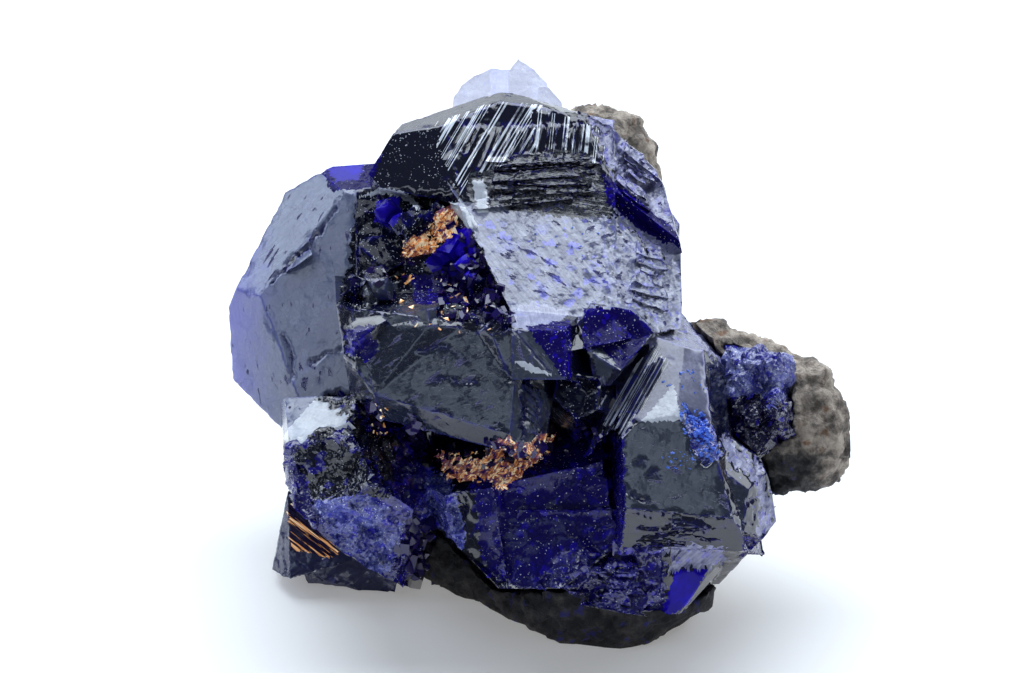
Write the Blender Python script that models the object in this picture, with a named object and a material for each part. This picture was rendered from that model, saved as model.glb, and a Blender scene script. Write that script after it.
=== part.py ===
"""An azurite specimen: deep blue crystals grown together on a lump of brown-grey rock.

The crystals are described in a frame that leans back from the upright. Across runs to the right,
rise runs up the leaning front and near comes out of it, all in millimetres from the middle of the
front. Each flat face is the plane through three of its corners, or a side at a distance from the
crystal's heart, and a crystal is what all its faces leave of a block.
"""
import math
import random

import bmesh
import bpy
from mathutils import Matrix, Vector, noise

MM = 0.001
LEAN = math.radians(28.0)          # how far the described front leans back
MIDDLE = Vector((0.32, -3.10, 15.0)) * MM   # where the middle of the front lies over the foot
SEAM = 0.3 * MM                    # clear gap between one piece and the next
BLOCK = 60.0 * MM                  # a block bigger than any crystal
ROCK_GRAIN = 1.4 * MM              # length of a facet of the rough rock
ROCK_RELIEF = 0.7 * MM             # height of the rock's lumps
BREAK_STEP = 1.1 * MM              # width of a facet on a broken crystal face
BREAK_DEPTH = 0.55 * MM            # depth of the hollows in a broken face
BREAK_GRAIN = 2.2 * MM             # distance from one hollow in a broken face to the next
PLATE_ROOT = 1.6                   # how far a ridge or a ledge reaches into its crystal, millimetres
SUNK = -0.02                       # a ridge's thin end lies this much under the face, millimetres
BLADE_THICKNESS = 1.7
RIM_COUNT = 9                      # small crystals in the row under the long slope
RIGHT_CRUST_COUNT = 22             # small crystals on the right lobe


def at(across, rise, near):
    """The place in metres of a point given in the leaning frame."""
    back = rise * math.sin(LEAN) - near * math.cos(LEAN)
    height = rise * math.cos(LEAN) + near * math.sin(LEAN)
    return Vector((across, back, height)) * MM + MIDDLE


def heading(across, rise, near):
    """A direction given in the leaning frame."""
    return (at(across, rise, near) - at(0.0, 0.0, 0.0)).normalized()


def clear_scene():
    for thing in list(bpy.data.objects):
        bpy.data.objects.remove(thing, do_unlink=True)


def finish(name, colour, roughness, metallic=0.0):
    """A plain material for one kind of piece."""
    material = bpy.data.materials.new(name)
    material.use_nodes = True
    shader = material.node_tree.nodes["Principled BSDF"]
    shader.inputs["Base Color"].default_value = (*colour, 1.0)
    shader.inputs["Roughness"].default_value = roughness
    shader.inputs["Metallic"].default_value = metallic
    return material


def dress(piece, material):
    """Gives a finished piece its one material."""
    piece.data.materials.clear()
    piece.data.materials.append(material)


def new_piece(name, shape):
    """An object made from a finished shape, which is used up."""
    bmesh.ops.recalc_face_normals(shape, faces=shape.faces)
    mesh = bpy.data.meshes.new(name)
    shape.to_mesh(mesh)
    shape.free()
    piece = bpy.data.objects.new(name, mesh)
    bpy.context.scene.collection.objects.link(piece)
    return piece


def cut_flat(shape, point, outward):
    """Cuts away what lies outward of a plane and closes the cut."""
    everything = shape.verts[:] + shape.edges[:] + shape.faces[:]
    cut = bmesh.ops.bisect_plane(
        shape, geom=everything, dist=1e-8, plane_co=point, plane_no=outward, clear_outer=True)
    rim = [part for part in cut["geom_cut"] if isinstance(part, bmesh.types.BMEdge)]
    if rim:
        bmesh.ops.holes_fill(shape, edges=rim, sides=0)


def crystal(heart, faces, sides, swell=0.0):
    """A flat-faced shape from faces through three corners and sides at a distance, moved out by swell."""
    centre = at(*heart)
    shape = bmesh.new()
    bmesh.ops.create_cube(shape, size=BLOCK)
    bmesh.ops.translate(shape, verts=shape.verts, vec=centre)
    for first, second, third in faces:
        corner = at(*first)
        outward = (at(*second) - corner).cross(at(*third) - corner).normalized()
        if (corner - centre).dot(outward) < 0.0:
            outward.negate()
        cut_flat(shape, corner + outward * swell, outward)
    for direction, distance in sides:
        outward = heading(*direction)
        cut_flat(shape, centre + outward * (distance * MM + swell), outward)
    return shape


# Each crystal: its heart, its faces by three corners, its sides by direction and distance.
TOP_HEAD = dict(
    heart=(-2.0, 11.0, -4.0),
    faces=[
        ((-8.8, 13.0, -0.4), (-5.8, 13.5, 0.6), (-4.7, 9.3, 2.4)),      # dark five-sided face
        ((-5.8, 13.5, 0.6), (-4.7, 9.3, 2.4), (3.4, 13.6, -0.4)),       # striated face
        ((-8.8, 13.0, -0.4), (-5.8, 13.5, 0.6), (-2.5, 14.9, -0.4)),    # top strip, left
        ((-2.5, 14.9, -0.4), (0.5, 14.5, -0.5), (-0.7, 15.4, -2.1)),    # top strip, middle
        ((0.5, 14.5, -0.5), (3.4, 13.6, -0.4), (1.8, 14.5, -2.0)),      # top strip, right
        ((-8.8, 13.0, -0.4), (-10.2, 10.7, -0.2), (-9.0, 11.8, -5.0)),  # left side
        ((-10.3, 10.7, -0.2), (-9.5, 9.8, 0.4), (-10.2, 9.8, -5.0)),    # lower left bevel
        ((-9.7, 9.8, 0.3), (-4.7, 8.6, 2.6), (-6.5, 8.6, -4.0)),        # underside over the hollow
        ((-6.6, 14.2, -1.7), (-2.5, 15.6, -2.1), (-4.5, 14.0, -8.0)),   # back of the top, left
        ((-2.5, 15.6, -2.1), (1.1, 14.7, -1.8), (0.0, 13.8, -8.0)),     # back of the top, right
        ((3.0, 13.6, -0.7), (4.0, 8.9, 2.0), (8.1, 8.8, -1.1)),         # just under the shoulder's face
    ],
    sides=[((1.0, 0.0, 0.0), 6.3), ((-0.3, 0.2, -1.0), 5.5), ((0.7, 0.3, -0.6), 7.6),
           ((0.3, -0.9, -0.4), 5.5)],
)
TOP_SLOPE = dict(
    heart=(2.0, 6.0, -1.0),
    faces=[
        ((-4.7, 8.9, 2.6), (4.1, 8.1, 2.0), (-0.7, 1.4, 7.6)),          # long pale slope
        ((4.1, 8.1, 1.6), (4.4, 2.8, 5.6), (8.1, 5.5, 0.2)),            # slope turned to the right
        ((-4.9, 8.6, 2.7), (-2.2, 3.2, 6.4), (-5.8, 5.6, 0.0)),         # side facing the hollow
        ((-2.2, 2.6, 6.9), (0.4, 0.2, 8.2), (-1.5, 0.6, 2.0)),          # lower end
    ],
    sides=[((1.0, 0.0, 0.0), 6.2), ((0.9, -0.4, -0.2), 6.3), ((0.2, -1.0, 0.0), 5.6), ((0.0, 1.0, 0.0), 4.6),
           ((0.8, 0.6, 0.0), 6.0), ((-1.0, 0.0, 0.0), 9.0), ((0.0, 0.0, -1.0), 6.0), ((0.7, 0.0, -0.8), 6.4)],
)
TOP_SHOULDER = dict(
    heart=(4.0, 10.0, -3.5),
    faces=[
        ((3.0, 13.6, -0.6), (4.0, 8.9, 2.1), (8.1, 8.8, -1.0)),         # rough cleaved face
        ((-5.8, 13.5, 0.5), (-4.7, 9.3, 2.3), (3.4, 13.6, -0.5)),       # just under the striated face
        ((3.0, 14.0, -1.4), (4.6, 13.3, -2.0), (3.4, 13.2, -6.0)),      # top
        ((4.5, 13.1, -2.0), (7.2, 10.2, -1.8), (5.8, 11.5, -7.0)),      # upper right
        ((7.2, 10.2, -1.8), (8.1, 6.7, -0.2), (7.7, 8.0, -7.0)),        # right
        ((3.4, 10.2, 1.4), (8.0, 6.6, 0.4), (3.6, 9.2, 0.2)),           # riser down to the slope
    ],
    sides=[((-1.0, 0.0, 0.0), 1.9), ((0.3, -1.0, -0.2), 4.4), ((0.2, 0.2, -1.0), 5.0)],
)
LEFT_GIANT = dict(
    heart=(-12.0, 3.0, -7.5),
    faces=[
        ((-17.6, 1.0, -4.4), (-12.6, 7.6, -3.6), (-11.0, -3.0, -0.6)),  # broad front
        ((-11.7, 9.6, -3.6), (-16.0, 4.4, -4.4), (-16.8, 8.2, -7.5)),   # pale upper left
        ((-16.6, 3.9, -4.3), (-15.0, -4.6, -3.0), (-18.3, 0.0, -6.5)),  # mottled left
        ((-15.4, 9.7, -7.4), (-18.8, 3.1, -6.0), (-17.2, 4.7, -12.0)),  # back left
        ((-12.5, 11.3, -5.7), (-15.2, 9.8, -7.4), (-13.6, 10.3, -11.0)),  # top left
        ((-12.4, 11.3, -5.7), (-9.0, 11.4, -6.0), (-10.0, 10.8, -11.0)),  # top
        ((-17.5, -2.6, -5.4), (-15.2, -4.8, -3.0), (-15.4, -4.3, -9.0)),  # lower left
        ((-11.7, 9.6, -3.6), (-9.5, 8.8, -1.8), (-10.4, 10.9, -5.0)),   # curved lip under the top
        ((-18.8, 2.3, -7.0), (-18.7, -1.5, -6.6), (-18.0, 0.0, -11.0)),  # left end
    ],
    sides=[((0.0, -1.0, 0.0), 8.2), ((1.0, 0.0, 0.0), 5.5), ((0.0, 0.0, -1.0), 6.0),
           ((-0.6, -0.5, -0.7), 6.6), ((-0.2, 0.7, -0.7), 7.2)],
)
FRONT_BARREL = dict(
    heart=(-5.5, -1.0, 4.0),
    faces=[
        ((-10.5, 1.5, 7.6), (-1.5, 1.0, 9.2), (-5.5, -3.5, 9.8)),       # broad front
        ((-9.5, -2.4, 8.8), (-2.0, -4.6, 10.6), (-5.8, -4.7, 8.0)),     # lower bevel
        ((-1.6, -1.2, 9.8), (-1.9, -4.8, 10.7), (0.6, -3.8, 8.0)),      # stepped right end
        ((-10.4, 2.6, 7.3), (-3.0, 1.6, 8.9), (-6.0, 3.0, 5.5)),        # upper bevel to the hollow
        ((-10.9, 2.4, 7.4), (-10.6, -1.6, 8.6), (-12.0, 1.5, 6.2)),     # thin left strip
        ((-10.9, -0.6, 8.2), (-9.3, -2.9, 8.9), (-11.0, -1.9, 5.0)),    # lower left bevel
        ((-12.0, 3.2, 6.0), (-11.6, 0.5, 6.6), (-11.8, 1.5, 2.0)),      # left side
        ((0.2, -5.0, 8.0), (0.6, -2.6, 8.0), (0.5, -3.8, 4.0)),         # right side
        ((-8.0, -4.1, 7.6), (-1.9, -5.6, 8.8), (-5.0, -4.6, 3.0)),      # underside
    ],
    sides=[((0.0, 1.0, 0.2), 4.2), ((0.0, 0.0, -1.0), 7.0)],
)
BARREL_BLOCK = dict(
    heart=(0.0, 0.0, 6.5),
    faces=[
        ((-1.5, 1.3, 9.5), (1.3, 1.2, 8.7), (-0.3, -1.4, 10.1)),        # grey face
        ((1.3, 1.2, 8.7), (1.4, -1.0, 9.2), (2.2, 0.2, 7.0)),           # right side
        ((-1.6, 1.5, 9.3), (1.3, 1.5, 8.5), (0.0, 2.3, 7.0)),           # top
        ((-1.0, -1.5, 9.8), (1.2, -1.5, 9.2), (0.0, -1.9, 6.0)),        # underside
    ],
    sides=[((-1.0, 0.0, 0.0), 1.8), ((0.0, 0.0, -1.0), 4.0), ((1.0, 0.0, 0.0), 2.4)],
)
DARK_WEDGE = dict(
    heart=(2.2, -2.2, 5.0),
    faces=[
        ((1.1, -1.2, 8.0), (3.2, -1.4, 7.8), (1.9, -3.7, 8.6)),         # speckled dark face
        ((3.4, -1.4, 7.6), (3.3, -3.0, 7.9), (4.0, -2.2, 6.0)),         # right side
        ((1.0, -0.9, 7.8), (3.4, -1.2, 7.4), (2.2, -0.4, 6.4)),         # top
        ((0.8, -2.7, 8.2), (1.9, -3.8, 8.4), (1.2, -3.8, 6.0)),         # lower left
        ((1.9, -3.9, 8.4), (3.4, -3.2, 7.6), (2.8, -4.0, 6.0)),         # lower right
    ],
    sides=[((-1.0, 0.2, 0.0), 1.5), ((0.0, 0.0, -1.0), 4.0), ((0.0, 1.0, 0.0), 2.2)],
)
BLUE_BLOCK = dict(
    heart=(4.0, 0.8, 3.8),
    faces=[
        ((2.2, 1.7, 7.4), (5.2, 2.4, 6.2), (4.4, -0.7, 7.9)),           # sparkling front
        ((2.5, 0.5, 8.0), (4.3, -0.7, 8.0), (2.8, -0.9, 7.8)),          # lower left facet
        ((2.7, 2.9, 6.5), (5.3, 2.7, 5.8), (4.0, 3.2, 4.0)),            # top
        ((2.0, 1.7, 7.3), (2.5, 0.3, 7.9), (1.6, 1.0, 4.0)),            # left side
        ((2.0, 1.7, 7.3), (2.8, 2.9, 6.5), (2.0, 2.6, 4.0)),            # upper left
        ((5.2, 2.6, 6.0), (6.5, 1.3, 6.0), (6.2, 2.2, 3.0)),            # upper right
        ((6.5, 1.2, 6.0), (4.6, -0.9, 7.6), (6.4, 0.2, 3.0)),           # lower right
    ],
    sides=[((0.0, -1.0, 0.0), 2.6), ((0.0, 0.0, -1.0), 4.0)],
)
RIGHT_CRYSTAL = dict(
    heart=(8.2, -5.5, 2.5),
    faces=[
        ((4.6, -4.8, 8.6), (10.2, -6.3, 8.0), (7.0, -9.8, 9.4)),        # large lower face
        ((4.6, -4.8, 8.6), (7.0, -0.4, 6.6), (3.2, -3.4, 6.4)),         # striated strip
        ((4.7, -4.8, 8.6), (5.5, -4.9, 8.7), (7.2, -1.3, 7.1)),         # lilac strip
        ((5.4, -4.6, 8.7), (7.7, -4.8, 8.6), (7.3, -1.7, 6.6)),         # pale facet
        ((7.7, -4.8, 8.5), (7.6, -1.6, 6.6), (9.7, -3.6, 6.9)),         # grey facet
        ((9.7, -3.2, 6.6), (10.2, -6.2, 7.8), (11.0, -4.3, 4.6)),       # right upper facet
        ((6.9, 0.7, 5.6), (9.3, 0.3, 4.6), (8.0, 1.2, 3.0)),            # pale strip on top
        ((9.3, 0.5, 4.4), (10.3, -0.5, 4.0), (10.2, 0.0, 1.0)),         # top right
        ((10.3, -0.5, 4.2), (11.0, -4.5, 4.2), (11.3, -2.0, -1.0)),     # upper right side
        ((4.5, -9.6, 9.1), (11.3, -9.8, 8.4), (8.0, -11.2, 7.8)),       # foot bevel
        ((4.5, -11.2, 7.4), (11.5, -11.4, 7.0), (8.0, -11.6, 2.0)),     # underside
        ((4.5, -5.0, 8.3), (4.5, -10.6, 8.7), (3.9, -7.0, 4.0)),        # left side
        ((3.1, -2.7, 6.2), (2.9, -3.7, 6.4), (3.0, -3.2, 2.0)),         # left corner
        ((6.4, 0.9, 5.4), (3.3, -2.5, 6.2), (5.0, -0.4, 1.0)),          # upper left side
    ],
    sides=[((0.0, 0.0, -1.0), 5.0)],
)
RIGHT_FLANK = dict(
    heart=(10.6, -8.0, 3.0),
    faces=[
        ((4.6, -4.8, 8.5), (10.2, -6.3, 7.9), (7.0, -9.8, 9.3)),        # just under its neighbour's face
        ((10.2, -6.4, 7.6), (11.8, -8.2, 7.1), (9.8, -9.6, 8.4)),       # front
        ((10.2, -6.0, 7.2), (11.9, -7.6, 6.8), (12.6, -6.2, 5.0)),      # narrow strip
        ((12.0, -7.8, 6.8), (12.2, -10.2, 6.6), (13.4, -8.4, 4.6)),     # right bevel
        ((10.9, -4.7, 5.0), (12.6, -6.0, 4.6), (11.8, -5.3, 1.0)),      # upper right
        ((12.7, -6.0, 4.6), (13.3, -7.6, 4.4), (13.1, -6.8, 0.0)),      # right shoulder
        ((13.3, -7.6, 4.4), (13.6, -9.6, 4.4), (13.6, -8.6, 0.0)),      # right end
        ((13.4, -10.0, 4.6), (12.4, -11.2, 5.2), (13.0, -10.6, 0.0)),   # lower right
        ((8.8, -10.4, 7.6), (12.6, -10.6, 6.2), (11.0, -11.5, 4.0)),    # foot
    ],
    sides=[((-1.0, 0.0, 0.0), 3.2), ((0.0, 0.0, -1.0), 5.0), ((0.0, 1.0, 0.0), 3.4)],
)
LOWER_LEFT = dict(
    heart=(-10.6, -7.6, 1.6),
    faces=[
        ((-14.8, -5.4, 4.8), (-11.2, -4.5, 6.0), (-13.2, -2.5, 2.8)),   # white facet
        ((-14.6, -5.6, 4.9), (-11.2, -4.8, 6.2), (-12.5, -9.5, 6.2)),   # broken front
        ((-14.8, -5.0, 4.0), (-14.6, -8.4, 4.4), (-15.0, -6.5, 1.0)),   # left side
        ((-14.9, -5.6, 4.6), (-14.4, -8.6, 5.4), (-15.3, -6.8, 3.4)),   # rounded left rib
        ((-11.0, -4.3, 6.0), (-7.6, -8.8, 5.8), (-9.0, -5.2, 4.2)),     # upper right break
        ((-14.6, -8.7, 4.6), (-11.6, -11.6, 4.6), (-13.0, -9.9, 0.0)),  # lower left
        ((-11.6, -11.6, 4.6), (-8.5, -13.5, 3.4), (-10.0, -12.4, -1.0)),  # bottom left
        ((-12.8, -9.4, 6.1), (-8.2, -9.6, 5.6), (-9.6, -12.9, 3.6)),    # rough lower patch
        ((-7.4, -9.0, 5.4), (-8.3, -13.4, 3.0), (-7.0, -10.5, 1.0)),    # right side
    ],
    sides=[((0.0, 1.0, -0.1), 5.0), ((0.0, 0.0, -1.0), 5.0), ((1.0, 0.0, 0.0), 4.2)],
)
CENTRE_FOOT = dict(
    heart=(0.2, -9.4, 1.0),
    faces=[
        ((-2.5, -7.7, 6.6), (1.9, -4.8, 6.0), (1.4, -13.0, 6.6)),       # deep blue rough face
        ((-6.4, -7.2, 4.6), (-2.8, -7.8, 6.6), (-3.4, -12.2, 6.2)),     # light blue rough face
        ((-6.0, -6.7, 4.4), (-2.5, -7.4, 6.4), (-3.0, -5.6, 3.4)),      # golden upper edge
        ((-2.0, -7.0, 6.2), (2.0, -4.7, 5.8), (0.0, -4.6, 4.0)),        # upper edge, right
        ((-6.6, -7.3, 4.2), (-4.8, -11.3, 4.8), (-6.4, -9.4, 0.0)),     # left side
        ((-4.8, -11.3, 4.8), (-3.5, -12.6, 5.2), (-4.2, -12.2, 0.0)),   # lower left
        ((-1.4, -13.6, 5.4), (1.4, -13.6, 5.6), (0.0, -13.8, 0.0)),     # underside
        ((3.4, -5.0, 5.4), (4.4, -11.0, 5.6), (4.2, -8.0, 0.0)),        # right side
        ((4.5, -11.0, 5.4), (1.2, -13.6, 5.4), (3.0, -12.4, 0.0)),      # lower right
    ],
    sides=[((0.0, 1.0, 0.0), 4.6), ((0.0, 0.0, -1.0), 4.0)],
)
RIGHT_FOOT = dict(
    heart=(5.6, -12.0, 1.0),
    faces=[
        ((1.2, -12.4, 5.4), (7.0, -10.8, 5.6), (4.6, -15.2, 4.6)),      # stepped front
        ((7.0, -11.4, 5.4), (7.2, -15.0, 4.4), (9.6, -12.9, 3.6)),      # violet facet
        ((7.0, -11.2, 5.4), (10.6, -11.6, 3.6), (9.0, -12.4, 4.6)),     # beige strip
        ((9.6, -13.0, 3.4), (8.6, -14.8, 2.6), (10.4, -13.4, 0.0)),     # right side
        ((11.4, -11.4, 2.4), (10.4, -12.6, 2.4), (11.2, -12.2, -1.0)),  # right end
        ((3.4, -14.5, 4.4), (6.4, -15.7, 3.8), (5.0, -14.2, 0.0)),      # underside
        ((-1.3, -13.9, 4.2), (3.4, -14.6, 4.4), (1.0, -13.6, 0.0)),     # underside, left
        ((6.6, -15.7, 3.8), (8.7, -14.9, 2.6), (7.6, -14.2, 0.0)),      # underside, right
    ],
    sides=[((-1.0, 0.0, 0.0), 7.0), ((0.0, 1.0, 0.0), 3.0), ((0.0, 0.0, -1.0), 2.4)],
)
CLUSTER = [TOP_HEAD, TOP_SLOPE, TOP_SHOULDER, LEFT_GIANT, FRONT_BARREL, BARREL_BLOCK, DARK_WEDGE,
           BLUE_BLOCK, RIGHT_CRYSTAL, RIGHT_FLANK, LOWER_LEFT, CENTRE_FOOT, RIGHT_FOOT]
HOLLOW_FLOOR = dict(
    heart=(-7.0, 5.6, -4.0),
    faces=[
        ((-10.4, 9.0, -1.4), (-5.0, 9.0, 0.2), (-8.0, 3.0, 2.4)),       # floor
    ],
    sides=[((-1.0, 0.0, 0.0), 4.0), ((1.0, 0.0, 0.0), 4.0), ((0.0, 1.0, 0.0), 4.2), ((0.0, -1.0, 0.0), 4.2),
           ((0.0, 0.0, -1.0), 3.5)],
)
HOLLOW_CRYSTALS = [                     # place and half length of each larger crystal in the hollow
    ((-7.6, 7.4, 0.6), 1.7),
    ((-9.6, 5.6, 0.4), 1.5),
    ((-9.3, 8.4, -0.4), 1.1),
    ((-6.2, 8.2, 1.4), 1.0),
    ((-5.6, 6.4, 1.8), 1.2),
    ((-11.0, 3.9, 4.2), 1.1),
    ((-9.4, 3.9, 4.6), 1.3),
    ((-7.4, 4.6, 3.4), 1.2),
]
RIM_START = (-4.9, 6.6, 3.0)            # the row of small crystals under the long slope
RIM_END = (-2.4, 2.2, 7.2)
BARREL_CRYSTALS = [
    ((-10.2, 1.3, 7.6), 1.2),
    ((-4.2, 1.6, 8.2), 0.9),
    ((-6.4, 2.2, 7.6), 0.8),
    ((-2.6, 1.6, 8.6), 0.8),
]
GOLD_LEFT = dict(
    heart=(-14.2, -10.6, -6.2),
    faces=[
        ((-15.2, -9.0, -4.6), (-12.6, -11.6, -4.2), (-15.2, -12.3, -4.0)),  # golden face
        ((-15.3, -8.8, -4.8), (-15.2, -12.2, -4.2), (-16.2, -12.9, -5.6)),  # pale left face
        ((-16.2, -12.8, -5.6), (-15.3, -8.6, -5.0), (-15.8, -10.6, -9.0)),  # left side
        ((-16.2, -13.2, -5.2), (-12.6, -12.6, -4.4), (-14.4, -11.3, -8.8)),  # underside
    ],
    sides=[((0.0, 1.0, 0.0), 2.4), ((1.0, 0.2, 0.0), 2.6), ((0.0, 0.0, -1.0), 3.0),
           ((0.7, 0.7, 0.2), 2.4)],
)
LILAC_LEFT = dict(
    heart=(-11.4, -12.4, -6.6),
    faces=[
        ((-14.2, -13.0, -5.0), (-9.0, -12.6, -4.2), (-11.9, -14.2, -4.8)),  # front
        ((-12.4, -13.2, -4.4), (-11.6, -13.4, -4.3), (-12.0, -14.4, -5.2)),  # lilac strip
        ((-13.8, -14.2, -4.6), (-10.8, -14.2, -4.6), (-12.2, -11.8, -9.0)),  # underside
        ((-14.4, -13.1, -5.2), (-13.8, -14.1, -5.4), (-14.0, -13.4, -9.0)),  # lower left
    ],
    sides=[((0.0, 1.0, 0.0), 2.4), ((1.0, -0.2, 0.0), 3.0), ((0.0, 0.0, -1.0), 3.0),
           ((-1.0, 0.3, 0.0), 2.8)],
)
BLADES = [                 # for each blade behind the top: outline, front, lean of the front
    ([(-5.6, 12.0), (-5.4, 15.5), (-4.9, 16.3), (-4.1, 16.9), (-3.1, 17.3), (-2.4, 12.0)],
     -9.9, (0.2, -0.27)),
    ([(-3.9, 12.0), (-3.4, 16.9), (-3.1, 17.4), (-1.9, 17.3), (-1.2, 16.4), (-1.0, 12.0)],
     -10.6, (0.0, -0.09)),
    ([(-2.3, 12.0), (-2.0, 17.2), (-1.4, 18.0), (-0.4, 17.3), (0.4, 16.4), (0.9, 12.0)],
     -10.0, (-0.12, -0.27)),
    ([(-0.6, 12.0), (-0.2, 16.2), (0.5, 16.2), (1.3, 15.3), (1.6, 12.0)],
     -9.3, (-0.24, -0.18)),
]
RIGHT_CRUST = dict(                     # the bed that the small crystals on the right lobe share
    heart=(12.6, -3.0, 0.6),
    faces=[
        ((11.0, -0.4, 2.2), (13.6, -1.8, 2.4), (12.4, -5.4, 3.0)),
        ((10.8, -0.2, 2.0), (13.3, -1.0, 1.8), (12.0, 0.0, -1.0)),
        ((13.6, -1.4, 2.0), (14.2, -4.2, 2.2), (14.4, -3.0, -1.0)),
        ((14.0, -4.4, 2.2), (12.6, -5.6, 2.6), (13.6, -5.4, -1.0)),
    ],
    sides=[((-1.0, 0.0, 0.0), 1.6), ((0.0, 0.0, -1.0), 2.2), ((0.0, -1.0, 0.0), 2.6)],
)
BLOCKY = [                              # the usual small azurite crystal: direction and relative distance
    ((1.0, 0.0, 0.0), 0.62), ((-1.0, 0.0, 0.0), 0.62), ((0.0, 1.0, 0.1), 0.50), ((0.0, -1.0, -0.1), 0.50),
    ((0.1, 0.0, 1.0), 1.00), ((0.0, 0.1, -1.0), 1.00), ((0.7, 0.1, 0.7), 0.86), ((-0.6, 0.2, 0.8), 0.90),
    ((0.1, 0.8, 0.6), 0.78), ((0.1, -0.7, 0.7), 0.82), ((0.7, 0.7, 0.1), 0.70), ((-0.7, -0.7, 0.1), 0.70),
]


def tilted(sides, size, turn):
    """Sides for a crystal of one habit, at its size in millimetres and turned."""
    return [((turn @ Vector(direction))[:], distance * size) for direction, distance in sides]


def small_crystal(place, size, turn, swell=0.0):
    return crystal(place, [], tilted(BLOCKY, size, turn), swell)


def any_turn(rng):
    """A turn drawn at random."""
    spin, tip, twist = (rng.uniform(0.0, most) for most in (math.tau, 2.4, math.tau))
    return Matrix.Rotation(spin, 3, "Z") @ Matrix.Rotation(tip, 3, "X") @ Matrix.Rotation(twist, 3, "Z")


def slab(outline, corners, proud, back=PLATE_ROOT):
    """A plate with an outline as seen from the front, each of its points standing proud of a face."""
    origin = at(*corners[0])
    outward = (at(*corners[1]) - origin).cross(at(*corners[2]) - origin).normalized()
    near = heading(0.0, 0.0, 1.0)
    if outward.dot(near) < 0.0:
        outward.negate()
    shape = bmesh.new()
    front = []
    for (across, rise), height in zip(outline, proud):
        point = at(across, rise, 0.0)
        level = origin + outward * height * MM
        front.append(shape.verts.new(point + near * ((level - point).dot(outward) / near.dot(outward))))
    face = shape.faces.new(front)
    sunk = bmesh.ops.extrude_face_region(shape, geom=[face])
    moved = [part for part in sunk["geom"] if isinstance(part, bmesh.types.BMVert)]
    bmesh.ops.translate(shape, verts=moved, vec=-near * back * MM)
    bmesh.ops.triangulate(shape, faces=shape.faces)
    return shape


def striations(corners, start, stop, count, length, lean_start, lean_stop, rng, proud=0.12, width=0.24):
    """Ridges side by side along a face, each a narrow plate, their lean changing from one to the next."""
    ridges = []
    for number in range(count):
        along = (number + 0.5) / count
        lean = math.radians(lean_start + (lean_stop - lean_start) * along)
        top = Vector(start).lerp(Vector(stop), along)
        run = Vector((-math.sin(lean), -math.cos(lean))) * length * rng.uniform(0.55, 1.0)
        across = Vector((math.cos(lean), -math.sin(lean))) * width * rng.uniform(0.7, 1.4)
        outline = [top, top + across, top + run * 0.9 + across, top + run]
        height = proud * rng.uniform(0.6, 1.2)
        heights = (SUNK, height, height * 0.8, SUNK)
        ridges.append(slab([tuple(point) for point in outline], corners, heights))
    return ridges


def ledges(corners, left, right, low, high, count, rng, proud=0.14, slope=0.0):
    """Ragged growth steps up a face: each plate stands proud along its lower edge and runs out above."""
    steps = []
    for number in range(count):
        bottom = low + (high - low) * (number + rng.uniform(-0.3, 0.3)) / count
        start = left + rng.uniform(0.0, 0.35) * (right - left)
        width = rng.uniform(0.45, 1.0) * (right - start)
        depth = (high - low) / count * rng.uniform(1.2, 2.4)
        height = proud * rng.uniform(0.6, 1.5)
        fall = rng.uniform(-0.08, 0.08) + slope
        outline = []
        heights = []
        for share in (0.0, 0.5, 1.0):
            dip = rng.uniform(-0.15, 0.0) if share == 0.5 else 0.0
            outline.append((start + width * share, bottom + fall * width * share + dip))
            heights.append(height * rng.uniform(0.6, 1.0))
        for share in (0.9, 0.6, 0.3, 0.05):
            rise = depth * rng.uniform(0.5, 1.0)
            across = start + width * (share + rng.uniform(-0.05, 0.05))
            outline.append((across, bottom + fall * width * share + rise))
            heights.append(height * rng.uniform(0.03, 0.35))
        steps.append(slab(outline, corners, heights))
    return steps


def broken(form, rough, rng):
    """A crystal some of whose faces are broken: they are cut up and their inner points pushed in."""
    shape = crystal(**form)
    planes = []
    for number in rough:
        first, second, third = form["faces"][number]
        corner = at(*first)
        outward = (at(*second) - corner).cross(at(*third) - corner).normalized()
        if (corner - at(*form["heart"])).dot(outward) < 0.0:
            outward.negate()
        planes.append((corner, outward))

    def on_rough(face):
        middle = face.calc_center_median()
        return any(abs((middle - corner).dot(outward)) < 1e-6 and face.normal.dot(outward) > 0.99
                   for corner, outward in planes)

    def is_inner(vert):
        """Whether a corner lies within one broken face and not on its rim."""
        first = vert.link_faces[0].normal
        return all(on_rough(face) and face.normal.dot(first) > 0.999 for face in vert.link_faces)

    bmesh.ops.recalc_face_normals(shape, faces=shape.faces)
    for _ in range(4):
        bmesh.ops.triangulate(shape, faces=[face for face in shape.faces if on_rough(face)])
        shape.edges.index_update()
        faces = [face for face in shape.faces if on_rough(face)]
        long_edges = {edge for face in faces for edge in face.edges if edge.calc_length() > BREAK_STEP * 1.5}
        if not long_edges:
            break
        bmesh.ops.subdivide_edges(shape, edges=sorted(long_edges, key=lambda edge: edge.index), cuts=1)
    bmesh.ops.triangulate(shape, faces=[face for face in shape.faces if on_rough(face)])
    shape.normal_update()
    inner = [vert for vert in shape.verts if is_inner(vert)]
    offset = Vector((rng.uniform(0.0, 9.0), 0.0, 0.0))
    moves = []
    for vert in inner:
        wave = noise.noise(vert.co / BREAK_GRAIN + offset) * 0.5 + 0.5
        moves.append((vert, vert.normal.normalized() * -BREAK_DEPTH * min(1.0, max(0.05, wave * 1.6 - 0.2))))
    for vert, move in moves:
        vert.co += move
    return shape


def is_closed(mesh):
    """Whether every edge has exactly two faces."""
    shape = bmesh.new()
    shape.from_mesh(mesh)
    closed = all(len(edge.link_faces) == 2 for edge in shape.edges)
    shape.free()
    return closed


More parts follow.
